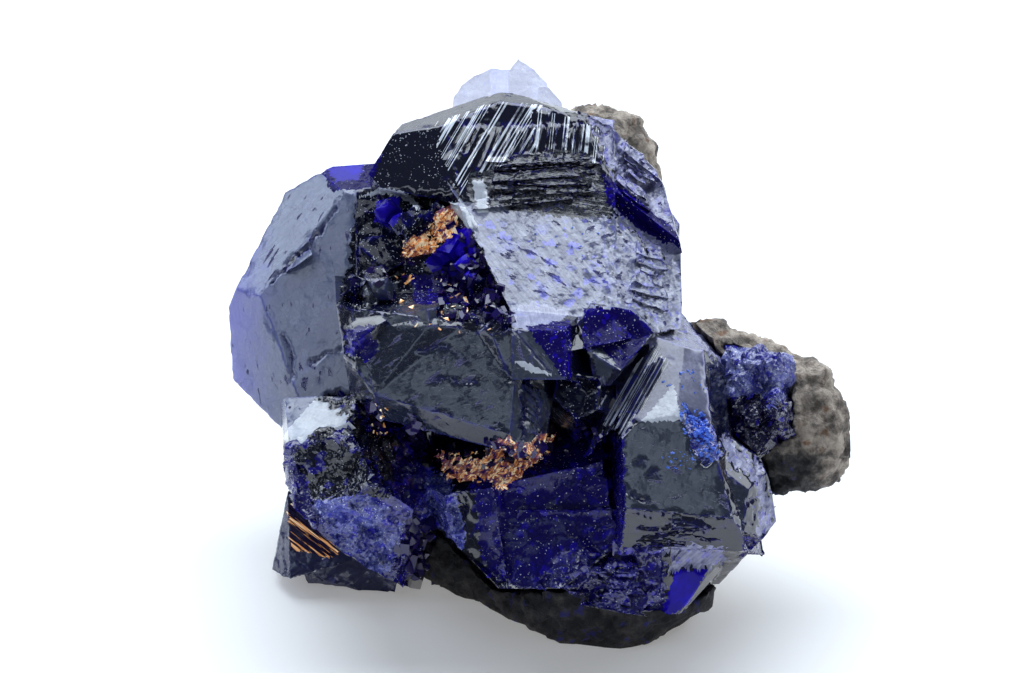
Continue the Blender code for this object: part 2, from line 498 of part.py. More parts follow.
def settled_mesh(piece):
    """The mesh that a piece's modifiers make of it."""
    graph = bpy.context.evaluated_depsgraph_get()
    return bpy.data.meshes.new_from_object(piece.evaluated_get(graph), depsgraph=graph)


def combine(piece, shapes, operation):
    """Adds shapes to a piece, or takes them from it, and uses them up.

    The exact solver can leave an edge with four faces where two small shapes just touch; only then
    is the work done again with the manifold solver.
    """
    tools = bpy.data.collections.new(piece.name + "_tools")
    bpy.context.scene.collection.children.link(tools)
    for number, shape in enumerate(shapes):
        tool = new_piece("%s_tool_%d" % (piece.name, number), shape)
        bpy.context.scene.collection.objects.unlink(tool)
        tools.objects.link(tool)
    boolean = piece.modifiers.new("Combine", "BOOLEAN")
    boolean.operation = operation
    boolean.operand_type = "COLLECTION"
    boolean.collection = tools
    for solver in ("EXACT", "MANIFOLD"):
        boolean.solver = solver
        result = settled_mesh(piece)
        if is_closed(result):
            break
    piece.modifiers.clear()
    piece.data = result
    for tool in list(tools.objects):
        bpy.data.objects.remove(tool, do_unlink=True)
    bpy.data.collections.remove(tools)


def keep_one_body(piece):
    """Keeps the one body that has the most points, and drops crumbs that grew onto nothing."""
    shape = bmesh.new()
    shape.from_mesh(piece.data)
    bmesh.ops.triangulate(shape, faces=shape.faces)
    left = set(shape.verts)
    bodies = []
    while left:
        body = {left.pop()}
        rim = list(body)
        while rim:
            for edge in rim.pop().link_edges:
                for vert in edge.verts:
                    if vert in left:
                        left.discard(vert)
                        body.add(vert)
                        rim.append(vert)
        bodies.append(body)
    bodies.sort(key=len, reverse=True)
    for body in bodies[1:]:
        bmesh.ops.delete(shape, geom=list(body), context="VERTS")
    shape.to_mesh(piece.data)
    shape.free()


def growths(rng):
    """The small crystals, ridges and ledges that are part of the cluster."""
    shapes = []
    for place, size in HOLLOW_CRYSTALS + BARREL_CRYSTALS:
        shapes.append(small_crystal(place, size, any_turn(rng)))
    for number in range(RIM_COUNT):
        place = Vector(RIM_START).lerp(Vector(RIM_END), number / (RIM_COUNT - 1))
        place += Vector((rng.uniform(-0.5, 0.1), rng.uniform(-0.3, 0.3), rng.uniform(-0.9, -0.3)))
        shapes.append(small_crystal(tuple(place), rng.uniform(0.6, 1.0), any_turn(rng)))
    striated = TOP_HEAD["faces"][1]
    shapes += striations(striated, (-4.9, 13.5), (2.4, 13.6), 16, 3.0, 30.0, 4.0, rng)
    shapes += ledges(striated, -4.2, 3.6, 8.5, 11.6, 11, rng, proud=0.20, slope=0.06)
    shapes += ledges(TOP_SHOULDER["faces"][0], 4.3, 7.0, 9.6, 13.0, 9, rng, proud=0.18, slope=-0.70)
    shapes += ledges(TOP_SLOPE["faces"][1], 4.8, 7.7, 2.8, 6.8, 8, rng, proud=0.12, slope=-0.30)
    shapes += ledges(LEFT_GIANT["faces"][1], -16.0, -13.2, 4.9, 7.4, 6, rng, proud=0.14, slope=0.70)
    shapes += striations(RIGHT_CRYSTAL["faces"][1], (6.9, 0.0), (3.9, -2.6), 9, 4.2, 27.0, 27.0, rng, 0.08)
    shapes += ledges(FRONT_BARREL["faces"][2], -1.4, 0.0, -3.9, -1.6, 6, rng, proud=0.16, slope=-0.8)
    shapes += ledges(RIGHT_CRYSTAL["faces"][9], 5.0, 10.6, -11.0, -9.9, 6, rng, proud=0.16, slope=-0.02)
    shapes += ledges(RIGHT_FOOT["faces"][0], 2.0, 6.6, -14.6, -11.8, 9, rng, proud=0.20, slope=-0.12)
    shapes += ledges(FRONT_BARREL["faces"][0], -9.6, -3.4, -1.0, 1.0, 5, rng, proud=0.08, slope=-0.24)
    return shapes


def make_cluster(material, rng):
    cluster = new_piece("azurite_cluster", crystal(**TOP_HEAD))
    whole = [TOP_SLOPE, LEFT_GIANT, FRONT_BARREL, BARREL_BLOCK, DARK_WEDGE, RIGHT_CRYSTAL, RIGHT_FLANK,
             HOLLOW_FLOOR]
    shapes = [crystal(**form) for form in whole]
    shapes.append(broken(TOP_SHOULDER, (0,), rng))
    shapes.append(broken(BLUE_BLOCK, (0,), rng))
    shapes.append(broken(LOWER_LEFT, (1, 4, 7), rng))
    shapes.append(broken(CENTRE_FOOT, (0, 1), rng))
    shapes.append(broken(RIGHT_FOOT, (0,), rng))
    combine(cluster, shapes, "UNION")
    combine(cluster, growths(rng), "UNION")
    keep_one_body(cluster)
    dress(cluster, material)
    return cluster


def swollen_cluster():
    """The cluster's big crystals, each a seam larger all round."""
    return [crystal(**form, swell=SEAM) for form in CLUSTER + [HOLLOW_FLOOR]]


def make_rear_crystals(material, rng):
    piece = new_piece("rear_crystals", crystal(**GOLD_LEFT))
    extra = [small_crystal((-13.0, -12.6, -4.6), 0.9, any_turn(rng)),
             small_crystal((-9.9, -12.0, -4.8), 1.0, any_turn(rng))]
    combine(piece, [crystal(**LILAC_LEFT)] + extra, "UNION")
    combine(piece, swollen_cluster(), "DIFFERENCE")
    keep_one_body(piece)
    dress(piece, material)
    return piece


def blade(outline, near, lean):
    """A flat upright crystal: its front leans by so much across and up for each millimetre."""
    left, top = min(point[0] for point in outline), max(point[1] for point in outline)
    corners = ((left, top, near), (left + 1.0, top, near + lean[0]), (left, top - 1.0, near - lean[1]))
    return slab(outline, corners, [0.0] * len(outline), BLADE_THICKNESS)


def make_back_blades(material):
    blades = [blade(*row) for row in BLADES]
    piece = new_piece("back_blades", blades[0])
    root = small_crystal((-2.0, 12.4, -11.6), 2.6, Matrix.Rotation(math.radians(90.0), 3, "Y"))
    combine(piece, blades[1:] + [root], "UNION")
    combine(piece, swollen_cluster(), "DIFFERENCE")
    keep_one_body(piece)
    dress(piece, material)
    return piece


def make_right_crystals(material, rng):
    piece = new_piece("right_crystals", crystal(**RIGHT_CRUST))
    grown = []
    for number in range(RIGHT_CRUST_COUNT):
        place = (rng.uniform(11.2, 13.9), rng.uniform(-4.9, -0.8), rng.uniform(1.7, 2.6))
        grown.append(small_crystal(place, rng.uniform(0.65, 1.15), any_turn(rng)))
    combine(piece, grown, "UNION")
    combine(piece, swollen_cluster(), "DIFFERENCE")
    keep_one_body(piece)
    dress(piece, material)
    return piece


def grown(piece):
    """The hull of a small group of crystals, a seam larger all round."""
    shape = bmesh.new()
    for vert in piece.data.vertices:
        shape.verts.new(vert.co)
    middle = sum((vert.co for vert in shape.verts), Vector()) / len(shape.verts)
    bmesh.ops.convex_hull(shape, input=shape.verts)
    spare = [vert for vert in shape.verts if not vert.link_faces]
    bmesh.ops.delete(shape, geom=spare, context="VERTS")
    for vert in shape.verts:
        vert.co += (vert.co - middle).normalized() * SEAM * 1.6
    return shape


# The rock's lumps: the middle and the radii of each, along the leaning frame.
LUMPS = [
    ((-1.0, 4.5, -11.0), (7.6, 8.0, 4.0)),       # behind the crystals
    ((1.5, -1.5, -8.5), (7.6, 7.5, 5.5)),
    ((-3.4, -6.0, -5.5), (8.4, 5.8, 5.5)),       # under the left crystals
    ((5.0, -6.0, -3.5), (7.6, 7.0, 5.0)),        # under the right crystals
    ((4.2, -12.8, -0.8), (6.2, 4.3, 3.5)),       # lower front
    ((10.0, -1.6, -2.6), (3.4, 3.5, 3.4)),       # right lobe
    ((12.6, -3.6, -2.4), (4.0, 4.4, 3.6)),
    ((15.0, -4.3, -1.2), (3.5, 4.2, 3.4)),
    ((16.6, -4.4, -0.6), (1.9, 2.9, 2.4)),
    ((3.2, 13.2, -10.6), (2.5, 2.2, 2.2)),       # knobs at the top right
    ((5.0, 11.8, -10.2), (2.2, 2.4, 2.4)),
    ((3.2, 9.0, -11.0), (3.8, 4.0, 3.4)),
]
FOOT_LUMPS = [                                   # the broken-off foot: middle over the flat, and radii
    ((3.7, -1.4, 1.6), (6.4, 8.0, 5.0)),
    ((-1.0, 2.2, 1.6), (7.4, 6.6, 4.6)),
]


def make_rock(material, neighbours):
    shape = bmesh.new()
    turn = Matrix.Rotation(-LEAN, 3, "X")
    squash = [Matrix.LocRotScale(at(*middle), turn, Vector((radii[0], radii[2], radii[1])) * MM)
              for middle, radii in LUMPS]
    under = Vector((MIDDLE.x, MIDDLE.y, 0.0))
    squash += [Matrix.LocRotScale(under + Vector(middle) * MM, None, Vector(radii) * MM)
               for middle, radii in FOOT_LUMPS]
    for matrix in squash:
        bmesh.ops.create_icosphere(shape, subdivisions=3, radius=1.0, matrix=matrix)
    rock = new_piece("matrix", shape)
    remesh = rock.modifiers.new("One skin", "REMESH")
    remesh.mode = "VOXEL"
    remesh.voxel_size = ROCK_GRAIN
    rock.data = settled_mesh(rock)
    rock.modifiers.clear()
    for vert in rock.data.vertices:
        place = vert.co / (3.4 * MM)
        lump = noise.noise(place) + 0.5 * noise.noise(place * 2.3) + 0.35 * abs(noise.noise(place * 4.1))
        vert.co += vert.normal * lump * ROCK_RELIEF
    ground = bmesh.new()
    bmesh.ops.create_cube(ground, size=BLOCK)
    bmesh.ops.translate(ground, verts=ground.verts, vec=Vector((0.0, 0.0, -BLOCK / 2)))
    combine(rock, [ground] + swollen_cluster() + [grown(piece) for piece in neighbours], "DIFFERENCE")
    keep_one_body(rock)
    dress(rock, material)


def main():
    clear_scene()
    azurite = finish("azurite", (0.02, 0.03, 0.30), 0.12)
    stone = finish("rock", (0.16, 0.13, 0.10), 0.85)
    rng = random.Random(11)
    make_cluster(azurite, rng)
    rear = make_rear_crystals(azurite, rng)
    blades = make_back_blades(azurite)
    right = make_right_crystals(azurite, rng)
    make_rock(stone, [rear, blades, right])


main()
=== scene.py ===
"""An azurite specimen: glossy deep blue crystals grown on a lump of brown-grey rock, on a pale floor."""
import math
import random

import bmesh
import bpy
from mathutils import Matrix, Vector, noise
from mathutils.bvhtree import BVHTree


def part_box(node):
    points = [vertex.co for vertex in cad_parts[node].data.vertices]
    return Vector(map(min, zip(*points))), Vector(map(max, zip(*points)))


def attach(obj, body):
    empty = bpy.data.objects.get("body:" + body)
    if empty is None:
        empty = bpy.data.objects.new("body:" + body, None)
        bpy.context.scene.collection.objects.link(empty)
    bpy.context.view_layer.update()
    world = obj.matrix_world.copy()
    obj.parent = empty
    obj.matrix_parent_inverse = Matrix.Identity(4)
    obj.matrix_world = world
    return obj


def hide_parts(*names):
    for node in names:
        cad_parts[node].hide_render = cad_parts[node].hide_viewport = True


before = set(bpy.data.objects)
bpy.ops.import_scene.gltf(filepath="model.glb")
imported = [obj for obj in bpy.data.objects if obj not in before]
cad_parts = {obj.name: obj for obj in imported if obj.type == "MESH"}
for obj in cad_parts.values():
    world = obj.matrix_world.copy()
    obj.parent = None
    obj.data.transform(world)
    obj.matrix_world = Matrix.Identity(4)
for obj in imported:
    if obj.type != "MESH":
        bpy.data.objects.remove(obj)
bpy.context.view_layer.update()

# ---- Camera, floor and studio light ----------------------------------------------------------
# A long lens looks squarely at the crystals' front, which leans back. The floor is a plain pale
# board, a big soft box hangs just behind the specimen, and the room in front of it is dim.
MM = 0.001
LEAN = math.radians(28.0)
MIDDLE = Vector((0.32, -3.10, 15.0)) * MM


def spot(across, rise, near):
    """The place in metres of a point given in millimetres from the middle of the leaning front:
    across to the right, rise up the front and near, out of it."""
    back = rise * math.sin(LEAN) - near * math.cos(LEAN)
    height = rise * math.cos(LEAN) + near * math.sin(LEAN)
    return Vector((across, back, height)) * MM + MIDDLE


NEAR = (spot(0.0, 0.0, 1.0) - spot(0.0, 0.0, 0.0)).normalized()
AIM = spot(-1.77, 1.03, 0.0)
CAMERA_DISTANCE = 0.3356
bpy.ops.object.camera_add(location=AIM + NEAR * CAMERA_DISTANCE,
                          rotation=(math.pi / 2 - LEAN, 0.0, 0.0))
camera = bpy.context.object
camera.name = "camera"
camera.data.lens = 200.0
camera.data.sensor_width = 36.0
camera.data.clip_start = 0.01
camera.data.clip_end = 10.0
bpy.context.scene.camera = camera
bpy.context.scene.view_settings.view_transform = "Standard"

FLOOR_SIZE = 6.0
bpy.ops.mesh.primitive_plane_add(size=FLOOR_SIZE, location=(0.0, 0.0, 0.0))
floor = bpy.context.object
floor.name = "floor"
floor_paint = bpy.data.materials.new("pale board")
floor_paint.use_nodes = True
board = {"Base Color": (0.80, 0.81, 0.82, 1.0), "Roughness": 0.9, "Specular IOR Level": 0.1,
         "Emission Color": (1.0, 0.99, 0.97, 1.0), "Emission Strength": 0.25}
for name, value in board.items():
    floor_paint.node_tree.nodes["Principled BSDF"].inputs[name].default_value = value
floor.data.materials.append(floor_paint)

world = bpy.data.worlds.new("dim room")
world.use_nodes = True
room_light = world.node_tree.nodes["Background"]
room_light.inputs["Color"].default_value = (0.80, 0.88, 1.0, 1.0)
room_light.inputs["Strength"].default_value = 0.10
bpy.context.scene.world = world

HALF_HEIGHT = 0.014       # the height that the lights face, metres


def soft_box(name, bearing, elevation, distance, wide, high, brightness, colour):
    """A soft box that faces the specimen: bearing 0 is over the camera and 180 behind it."""
    around, up = math.radians(bearing), math.radians(elevation)
    away = Vector((math.sin(around) * math.cos(up), -math.cos(around) * math.cos(up), math.sin(up)))
    place = Vector((0.0, 0.0, HALF_HEIGHT)) + away * distance
    bpy.ops.object.light_add(type="AREA", location=place)
    light = bpy.context.object
    light.name = name
    light.rotation_euler = away.to_track_quat("Z", "Y").to_euler()
    light.data.shape = "RECTANGLE"
    light.data.size = wide
    light.data.size_y = high
    light.data.energy = brightness * math.pi * wide * high
    light.data.color = colour
    light.visible_camera = False


soft_box("back soft box", 180.0, 62.0, 1.2, 1.7, 1.2, 4.1, (0.83, 0.91, 1.0))
soft_box("back wall", 180.0, 15.0, 1.9, 2.4, 0.7, 1.5, (0.88, 0.94, 1.0))
soft_box("left back soft box", -114.0, 27.0, 1.4, 0.8, 0.7, 3.3, (0.72, 0.83, 1.0))
soft_box("left front soft box", -63.0, 32.0, 1.4, 0.7, 0.34, 1.5, (0.78, 0.87, 1.0))
soft_box("front soft box", 0.0, 54.0, 1.4, 1.1, 0.32, 1.1, (0.66, 0.81, 1.0))
soft_box("right soft box", 120.0, 32.0, 1.4, 0.9, 0.7, 3.0, (0.84, 0.91, 1.0))

# ---- The big azurite crystals ----------------------------------------------------------------
# Thick, blocky crystals of a glassy, almost opaque deep blue copper mineral, grown into each other.
# Some faces are mirror flat, some are ribbed or stepped by growth, and some are broken.
FINE_EDGE = 0.19          # length of an edge on the faces that show, millimetres
COARSE_EDGE = 0.60        # length of an edge at the back and underneath
REFINE_PASSES = 10
FIRST_STEP = 1.5          # the first pass aims at the longest edge's length divided by this
REFINE_STEP = 1.6         # each further pass divides its aim by this
REFINE_LIMIT = 1.45       # an edge is halved when it is longer than this times the aim
FLAT_ANGLE = math.radians(0.6)
SHARP_ANGLE = math.radians(24.0)
SMOOTH_ANGLE = math.radians(20.0)
TOUCHING = 1e-6           # points closer than this are one point, metres
IN_FRONT = 40.0           # a look at the front starts this far out of it, millimetres


def on_front(place):
    """Across, rise and near, in millimetres, of a place in metres."""
    away = (place - MIDDLE) / MM
    return Vector((away.x, away.y * math.sin(LEAN) + away.z * math.cos(LEAN),
                   away.z * math.sin(LEAN) - away.y * math.cos(LEAN)))


class Flow:
    """A value on its way through a material's nodes: sums written on it add Math nodes."""

    def __init__(self, finish, socket):
        self.finish = finish
        self.socket = socket

    def math(self, operation, *values):
        return self.finish.add("ShaderNodeMath", {"operation": operation}, dict(enumerate(values)))

    def __add__(self, other):
        return self.math("ADD", self, other)

    def __radd__(self, other):
        return self.math("ADD", other, self)

    def __sub__(self, other):
        return self.math("SUBTRACT", self, other)

    def __rsub__(self, other):
        return self.math("SUBTRACT", other, self)

    def __mul__(self, other):
        return self.math("MULTIPLY", self, other)

    def __rmul__(self, other):
        return self.math("MULTIPLY", other, self)

    def at_least(self, other):
        return self.math("MAXIMUM", self, other)

    def at_most(self, other):
        return self.math("MINIMUM", self, other)


class Finish:
    """A material in the making."""

    def __init__(self, name):
        self.material = bpy.data.materials.new(name)
        self.material.use_nodes = True
        self.nodes = self.material.node_tree.nodes
        self.shader = self.nodes["Principled BSDF"]
        place = self.add("ShaderNodeTexCoord", output="Object")
        shift = Matrix.Rotation(LEAN, 3, "X") @ (MIDDLE / MM)
        self.front = self.add("ShaderNodeMapping", {}, {
            "Vector": place, "Location": -shift, "Rotation": (LEAN, 0.0, 0.0),
            "Scale": (1.0 / MM, 1.0 / MM, 1.0 / MM)})

    def feed(self, socket, value):
        if isinstance(value, Flow):
            self.material.node_tree.links.new(value.socket, socket)
        elif hasattr(value, "__len__") and len(value) == 3 and socket.type == "RGBA":
            socket.default_value = (*value, 1.0)
        else:
            socket.default_value = value

    def add(self, kind, settings=None, inputs=None, output=0):
        """Adds a node of a kind, sets it up, feeds its inputs and hands back one of its outputs."""
        node = self.nodes.new(kind)
        for key, value in (settings or {}).items():
            setattr(node, key, value)
        for key, value in (inputs or {}).items():
            self.feed(node.inputs[key], value)
        return Flow(self, node.outputs[output])

    def turned(self, turn, stretch):
        """Places on the front, turned in degrees in its plane and then stretched along each way."""
        flat = self.add("ShaderNodeVectorRotate", {"rotation_type": "Y_AXIS"},
                        {"Vector": self.front, "Angle": math.radians(turn)})
        return self.add("ShaderNodeVectorMath", {"operation": "MULTIPLY"}, {0: flat, 1: stretch})

    def cloud(self, size, detail=2.0, vector=None, roughness=0.5):
        """Soft noise from 0 to 1, its lumps of a size in millimetres."""
        return self.add("ShaderNodeTexNoise", {"noise_dimensions": "3D"},
                        {"Vector": vector or self.front, "Scale": 1.0 / size, "Detail": detail,
                         "Roughness": roughness})

    def ramp(self, value, low, high):
        """0 below low, 1 above high and smooth between."""
        return self.add("ShaderNodeMapRange", {"interpolation_type": "SMOOTHSTEP"},
                        {"Value": value, "From Min": low, "From Max": high, "To Min": 0.0, "To Max": 1.0})

    def mix(self, share, under, over):
        """One colour over another."""
        return self.add("ShaderNodeMix", {"data_type": "RGBA"}, {0: share, 6: under, 7: over}, output=2)

    def crumpled(self, amount, size):
        """Places on the front pushed about, so that a pattern on them isn't regular."""
        push = self.add("ShaderNodeTexNoise", {"noise_dimensions": "3D"},
                        {"Vector": self.front, "Scale": 1.0 / size, "Detail": 2.0}, output="Color")
        return self.add("ShaderNodeVectorMath", {"operation": "MULTIPLY_ADD"},
                        {0: push, 1: (amount,) * 3, 2: self.front})

    def facets(self, size, tilt, vector):
        """The height in millimetres of small flat facets of one size, each tilted its own way."""
        middle = self.add("ShaderNodeTexVoronoi", {"voronoi_dimensions": "3D", "feature": "F1"},
                          {"Vector": vector, "Scale": 1.0 / size}, output="Position")
        hue = Flow(self, middle.socket.node.outputs["Color"])
        away = self.add("ShaderNodeVectorMath", {"operation": "SUBTRACT"}, {0: vector, 1: middle})
        lean = self.add("ShaderNodeVectorMath", {"operation": "SUBTRACT"}, {0: hue, 1: (0.5, 0.5, 0.5)})
        return self.add("ShaderNodeVectorMath", {"operation": "DOT_PRODUCT"}, {0: away, 1: lean},
                        output="Value") * (2.0 * tilt)

    def speckle(self, size, vector):
        """A value from 0 to 1 that is even over each small grain."""
        grains = self.add("ShaderNodeTexVoronoi", {"voronoi_dimensions": "3D", "feature": "F1"},
                          {"Vector": vector, "Scale": 1.0 / size}, output="Color")
        return self.add("ShaderNodeSeparateColor", {}, {0: grains}, output=0)

    def painted(self, name):
        """A value painted on the piece's points."""
        return self.add("ShaderNodeAttribute", {"attribute_name": name}, output="Fac")

    def done(self, colour, roughness, height=None, **plain):
        """Joins the colour, roughness and relief to the shader and sets its plain values."""
        self.feed(self.shader.inputs["Base Color"], colour)
        self.feed(self.shader.inputs["Roughness"], roughness)
        if height is not None:
            relief = self.add("ShaderNodeBump", {}, {"Height": height, "Distance": MM, "Strength": 1.0})
            self.feed(self.shader.inputs["Normal"], relief)
        for name, value in plain.items():
            self.feed(self.shader.inputs[name.replace("_", " ")], value)
        return self.material


# Colours of azurite: in the dark; the painted glow where light seems to go in and out; the pale frost, partly
# frosting and partly painted reflection; the painted glow through thin sides; and where a golden film covers
# it.
NIGHT = (0.003, 0.004, 0.016)
NAVY = (0.005, 0.004, 0.110)
ROYAL = (0.012, 0.003, 0.460)
FROST_AND_SHEEN = (0.300, 0.330, 0.450)
WHITE = (0.800, 0.850, 0.950)
SHEER_GLOW_BLUE = (0.130, 0.130, 0.520)
BRONZE = (0.260, 0.080, 0.050)
GOLD = (0.760, 0.340, 0.110)
CREAM = (1.000, 0.860, 0.620)
AZURITE_IOR = 1.78
GRAIN_SIZE = 0.16         # sizes of the finest grain, of blotches, dust and cuts, millimetres
BLOTCH_SIZE = 1.7
DUST_SIZE = 0.055
CUT_SIZE = 0.42


def azurite(name, deep=NIGHT, frost_and_sheen=FROST_AND_SHEEN, frost_and_sheen_share=0.0, glow=ROYAL, glowing=0.2, roughness=0.05,
            streak_turn=0.0, streaks=0.0, rib_highlights=0.0, facet=0.0, tilt=0.0, chips=0.0, dust=0.0,
            ripple=0.010, lit=0.06, specular=0.5, rim=0.3, sheer=None, through=0.0, rib=3.4):
    """A finish of azurite: its deep colour, how much of it is frosted (its frost colour partly painted
    reflection) or lit by a painted blue glow inside, streaks and white growth lines that are painted
    highlights, at a turn in degrees, small facets, cuts, dust, a painted glow along edges and through a thin
    side, and a painted glow of its own deep colour."""
    finish = Finish(name)
    edge = finish.painted("edge")
    groove = finish.painted("groove")
    grain = finish.cloud(GRAIN_SIZE, 2.0)
    soft = finish.cloud(BLOTCH_SIZE, 5.0, roughness=0.62)
    crumpled = finish.crumpled(0.5, 0.5)
    lines = finish.cloud(1.0, 4.0, finish.turned(streak_turn, (5.5, 1.0, 0.30)), 0.62)
    height = (finish.cloud(2.2, 1.0) * ripple + grain * 0.0012 + lines * (0.10 * streaks + 0.0015)
              + soft * 0.006)
    rough = soft * (0.08 + 0.10 * frost_and_sheen_share) + roughness
    # Painted glow: blotches where light seems to shine through the crystal, coloured blue and given off as
    # light.
    glows = finish.ramp(soft, 0.72 - glowing * 0.34, 0.90 - glowing * 0.28) * glowing
    # Painted glow along the sharp edges, where light seems to come through thin rims.
    rim_glow = finish.ramp(edge * 0.5 + finish.cloud(0.7, 3.0) * 0.8, 0.66, 1.0) * rim
    colour = deep
    # The frost colour is partly frosting and partly painted reflection.
    if frost_and_sheen_share:
        pattern = soft * 0.45 + lines * 0.55 if streaks else soft * 0.7 + grain * 0.3
        frost_and_sheen_mask = finish.ramp(pattern, 0.60 - 0.4 * frost_and_sheen_share, 0.92 - 0.4 * frost_and_sheen_share)
        colour = finish.mix(frost_and_sheen_mask * frost_and_sheen_share, deep, frost_and_sheen)
    # Painted glow of light through a thin side: bluer towards one side across the front.
    if sheer:
        across = finish.add("ShaderNodeSeparateXYZ", {}, {0: finish.front})
        thin_side_glow = finish.ramp(across + soft * 3.0, *sheer)
        colour = finish.mix(thin_side_glow * 0.8, colour, SHEER_GLOW_BLUE)
    glows = glows.at_least(rim_glow)
    if facet:
        height = height + finish.facets(facet, tilt, crumpled) + finish.facets(facet * 0.36, tilt, crumpled)
        if tilt > 0.05:
            glows = glows.at_least(finish.ramp(finish.speckle(facet * 0.5, crumpled), 0.90, 0.92) * glowing)
    if chips:
        slanting = finish.turned(streak_turn + 14.0, (1.0, 1.0, 0.28))
        cuts = finish.ramp(finish.cloud(CUT_SIZE, 3.0, slanting), 0.645 - 0.04 * chips, 0.660 - 0.04 * chips)
        cuts = cuts * finish.ramp(soft, 0.42, 0.52)
        colour = finish.mix(cuts, colour, NAVY)
        height = height + cuts * (finish.cloud(0.10, 1.0) * 0.30 - 0.15)
        rough = rough + cuts * 0.5
    colour = finish.mix(glows.at_most(1.0), colour, glow)
    # Painted shade in the grooves: they are darkened navy.
    colour = finish.mix(groove * 0.8, colour, NAVY)
    # The glow is given off as light too, a painted glow, with a share of the deep colour as if lit through.
    painted_glow = finish.mix(glows.at_most(1.0), tuple(through * part for part in deep), glow)
    # Painted highlights: white lines along the growth ribs, where they would catch the light.
    if rib_highlights:
        ribs = finish.cloud(1.0, 1.0, finish.turned(streak_turn, (rib, 0.1, 0.07)))
        bright = finish.ramp(ribs, 0.53, 0.55) - finish.ramp(ribs, 0.60, 0.63)
        bright = bright * finish.ramp(soft, 0.30, 0.46)
        colour = finish.mix(bright * rib_highlights, colour, WHITE)
        rough = rough + bright * 0.2
    if dust:
        specks = finish.speckle(DUST_SIZE, finish.front)
        dots = finish.ramp(specks, 0.995 - 0.020 * dust, 0.997 - 0.020 * dust)
        colour = finish.mix(dots * finish.ramp(soft, 0.34, 0.60) * 0.8, colour, WHITE)
    return finish.done(colour, rough, height, IOR=AZURITE_IOR, Specular_IOR_Level=specular,
                       Emission_Color=painted_glow, Emission_Strength=lit)


def golden(name):
    """A thin iridescent film on broken azurite, streaked bronze, gold and cream, with violet gaps; it gives
    off its colour as a painted glow.
    """
    finish = Finish(name)
    crumpled = finish.crumpled(0.4, 0.4)
    streaks = finish.cloud(1.0, 3.0, finish.turned(-35.0, (7.0, 1.0, 1.3)), 0.6)
    colour = finish.mix(finish.ramp(streaks, 0.44, 0.52), BRONZE, GOLD)
    colour = finish.mix(finish.ramp(streaks, 0.52, 0.60), colour, CREAM)
    dim = finish.ramp(finish.speckle(0.25, crumpled), 0.60, 0.66)
    gaps = finish.ramp(finish.cloud(0.5, 4.0, roughness=0.7), 0.54, 0.60)
    colour = finish.mix(dim * 0.8, colour, (0.10, 0.02, 0.10))
    colour = finish.mix(gaps, colour, (0.03, 0.01, 0.12))
    height = finish.facets(0.35, 0.5, crumpled) + streaks * 0.12
    return finish.done(colour, 0.28, height, Metallic=0.3, Emission_Color=colour, Emission_Strength=0.30)


